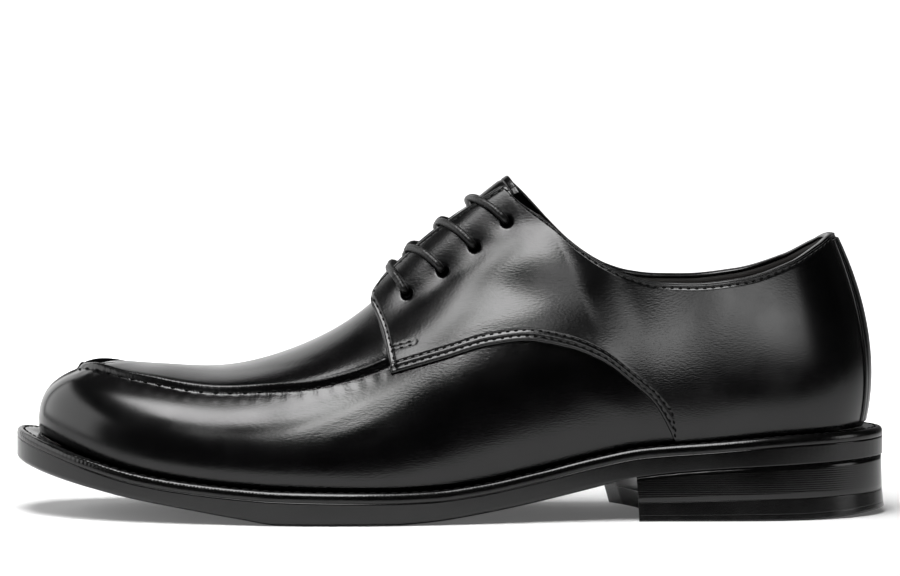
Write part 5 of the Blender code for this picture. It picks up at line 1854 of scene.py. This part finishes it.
def apron_row(side):
    along = np.linspace(0.5 * SEAM_STITCH_PITCH, APRON_ROW_END, APRON_ROW_POINTS)
    scale = last.rise_length(side, along, apron_rise(along))
    rise = apron_rise(along) + SEAM_STITCH_ACROSS / scale
    points = last.raised(side, along, rise, vamp_relief(side, along, rise))
    return StitchRun(points, last.normal(side, along, rise), SEAM_STITCH_PITCH)


def welt_row(side):
    along = np.linspace(WELT_ROW_MARGIN, last.half - WELT_ROW_MARGIN, WELT_ROW_POINTS)
    plan = last.edge(side, along, WELT_ROW_INSET)
    points = np.concatenate([plan, (welt_top(plan[:, 0]) - WELT_ROW_SINK)[:, None]], 1)
    normals = np.zeros_like(points)
    normals[:, 2] = 1.0
    return StitchRun(points, normals, WELT_WHEEL_PITCH)


def make_all_stitching():
    quarter_runs = []
    apron_runs = []
    welt_runs = []
    low_along = np.linspace(LOW_ROW_START, LOW_ROW_END, LOW_ROW_POINTS)
    facing_along = np.linspace(*FACING_ROW, FACING_ROW_POINTS)
    collar_along = np.linspace(COLLAR_ROW_START, last.half, COLLAR_ROW_POINTS)
    for side in (-1, 1):
        for row in LOW_STITCH_ROWS:
            quarter_runs.append(quarter_row(side, low_along, from_low=row))
        quarter_runs.append(quarter_row(side, facing_along, from_high=SIDE_STITCH_ROW))
        quarter_runs.append(quarter_row(side, collar_along, from_high=COLLAR_STITCH_ROW))
        quarter_runs.append(front_row(side))
        for offset in TACK_OFFSETS:
            quarter_runs.append(bar_tack_row(side, offset))
        apron_runs.append(apron_row(side))
        welt_runs.append(welt_row(side))
    make_stitching("upper_stitching", quarter_runs, UPPER_THREAD)
    make_stitching("apron_stitching", apron_runs, APRON_THREAD)
    make_stitching("welt_stitching", welt_runs, WELT_THREAD)


# Stage, lights and camera

def make_floor():
    """Pale paper that runs back and up behind the shoe; in the shoe's reflections its front is dark."""
    turn = np.linspace(0.0, math.pi / 2, SWEEP_STEPS)
    profile = [(FLOOR_FRONT, 0.0)]
    profile += [(FLOOR_BACK + SWEEP_RADIUS * math.sin(a), SWEEP_RADIUS * (1 - math.cos(a))) for a in turn]
    profile.append((FLOOR_BACK + SWEEP_RADIUS, BACKDROP_TOP))
    points = [(x, y, z) for x in (-FLOOR_HALF, FLOOR_HALF) for y, z in profile]
    count = len(profile)
    faces = [(k, count + k, count + k + 1, k + 1) for k in range(count - 1)]
    mesh = bpy.data.meshes.new("paper_sweep")
    mesh.from_pydata(points, [], faces)
    for polygon in mesh.polygons:
        polygon.use_smooth = True
    material, tree, shader = new_material("pale_paper", colour=grey(PAPER_SHADE), roughness=0.9, specular=0.1)
    split = add_node(tree, "ShaderNodeSeparateXYZ")
    feed(tree, split.inputs["Vector"], object_place(tree))
    feed(tree, shader.inputs["Base Color"], remap(tree, split.outputs["Y"], *TABLE_EDGE, 0.0, PAPER_SHADE))
    seen = add_node(tree, "ShaderNodeLightPath").outputs["Is Camera Ray"]
    behind = remap(tree, split.outputs["Y"], *NEAR_GLOW)
    before = remap(tree, split.outputs["Y"], *TABLE_EDGE, 1.0, 0.0)
    to_camera = calculate(tree, "MAXIMUM", behind, before)
    far_behind = remap(tree, split.outputs["Y"], *FAR_GLOW)
    toe_side = remap(tree, split.outputs["X"], *TOE_GLOW)
    to_shoe = calculate(tree, "MULTIPLY", far_behind, toe_side)
    shown = add_node(tree, "ShaderNodeMix", data_type="FLOAT")
    feed(tree, shown.inputs["Factor"], seen)
    feed(tree, shown.inputs[2], to_shoe)
    feed(tree, shown.inputs[3], to_camera)
    shader.inputs["Emission Strength"].default_value = 1.0
    feed(tree, shader.inputs["Emission Color"], shown.outputs[0])
    mesh.materials.append(material)
    floor = add_object("paper_sweep", mesh)


def aim(thing, target):
    way = Vector(target) - thing.location
    thing.rotation_euler = way.to_track_quat("-Z", "Y").to_euler()


PANEL_CORNERS = [(-1, -1), (1, -1), (1, 1), (-1, 1)]


def panel_glow(box):
    """Glowing face of a panel, fading out to its edges."""
    material, tree, shader = new_material(box.name, colour=grey(0.0), roughness=1.0, specular=0.0)
    fades = []
    for mark in ("across", "upward"):
        away = calculate(tree, "ABSOLUTE", read_mark(tree, mark))
        fades.append(remap(tree, away, 1 - box.softness, 1.0, 1.0, 0.0))
    feed(tree, shader.inputs["Emission Color"], calculate(tree, "MULTIPLY", *fades))
    shader.inputs["Emission Strength"].default_value = box.radiance
    return material


def make_softbox(box):
    """Soft-edged glowing panel that the camera does not see."""
    place = Vector(box.place)
    turn = (Vector(box.aim) - place).to_track_quat("-Z", "Y")
    reach = Vector((0.5 * box.width, 0.5 * box.height, 0.0))
    corners = [place + turn @ (reach * Vector((across, upward, 0.0))) for across, upward in PANEL_CORNERS]
    mesh = bpy.data.meshes.new(box.name)
    mesh.from_pydata([tuple(corner) for corner in corners], [], [tuple(range(len(corners)))])
    for number, mark in enumerate(("across", "upward")):
        add_mark(mesh, mark, [corner[number] for corner in PANEL_CORNERS])
    mesh.materials.append(panel_glow(box))
    panel = add_object(box.name, mesh)
    panel.visible_camera = False
    if box.lit:
        lit_pieces = bpy.data.collections.new(f"{box.name}_lit")
        for name in box.lit:
            lit_pieces.objects.link(bpy.data.objects[name])
        panel.light_linking.receiver_collection = lit_pieces


def make_world():
    """Dim room for the reflections, pale where the camera looks past the paper."""
    world = bpy.data.worlds.new("studio")
    bpy.context.scene.world = world
    world.use_nodes = True
    tree = world.node_tree
    tree.nodes.clear()
    room = add_node(tree, "ShaderNodeBackground")
    room.inputs["Color"].default_value = (*grey(ROOM_SHADE), 1.0)
    paper = add_node(tree, "ShaderNodeBackground")
    paper.inputs["Color"].default_value = (*grey(1.0), 1.0)
    seen = add_node(tree, "ShaderNodeLightPath")
    mix = add_node(tree, "ShaderNodeMixShader")
    feed(tree, mix.inputs[0], seen.outputs["Is Camera Ray"])
    feed(tree, mix.inputs[1], room.outputs[0])
    feed(tree, mix.inputs[2], paper.outputs[0])
    output = add_node(tree, "ShaderNodeOutputWorld")
    feed(tree, output.inputs["Surface"], mix.outputs[0])


def make_camera():
    data = bpy.data.cameras.new("camera")
    data.sensor_fit = "HORIZONTAL"
    data.sensor_width = CAMERA_SENSOR
    data.lens = CAMERA_LENS
    camera = add_object("camera", data)
    camera.location = CAMERA_PLACE
    aim(camera, CAMERA_AIM)
    bpy.context.scene.camera = camera


make_camera()
make_world()
make_floor()
bpy.context.scene.view_settings.view_transform = "Standard"
make_vamp()
make_quarters()
make_lining()
make_collar_binding()
make_back_strip()
make_tongue()
make_laces()
make_welt()
make_outsole()
make_sock()
make_heel_stack()
make_top_piece()
make_all_stitching()
for softbox in SOFTBOXES:
    make_softbox(softbox)
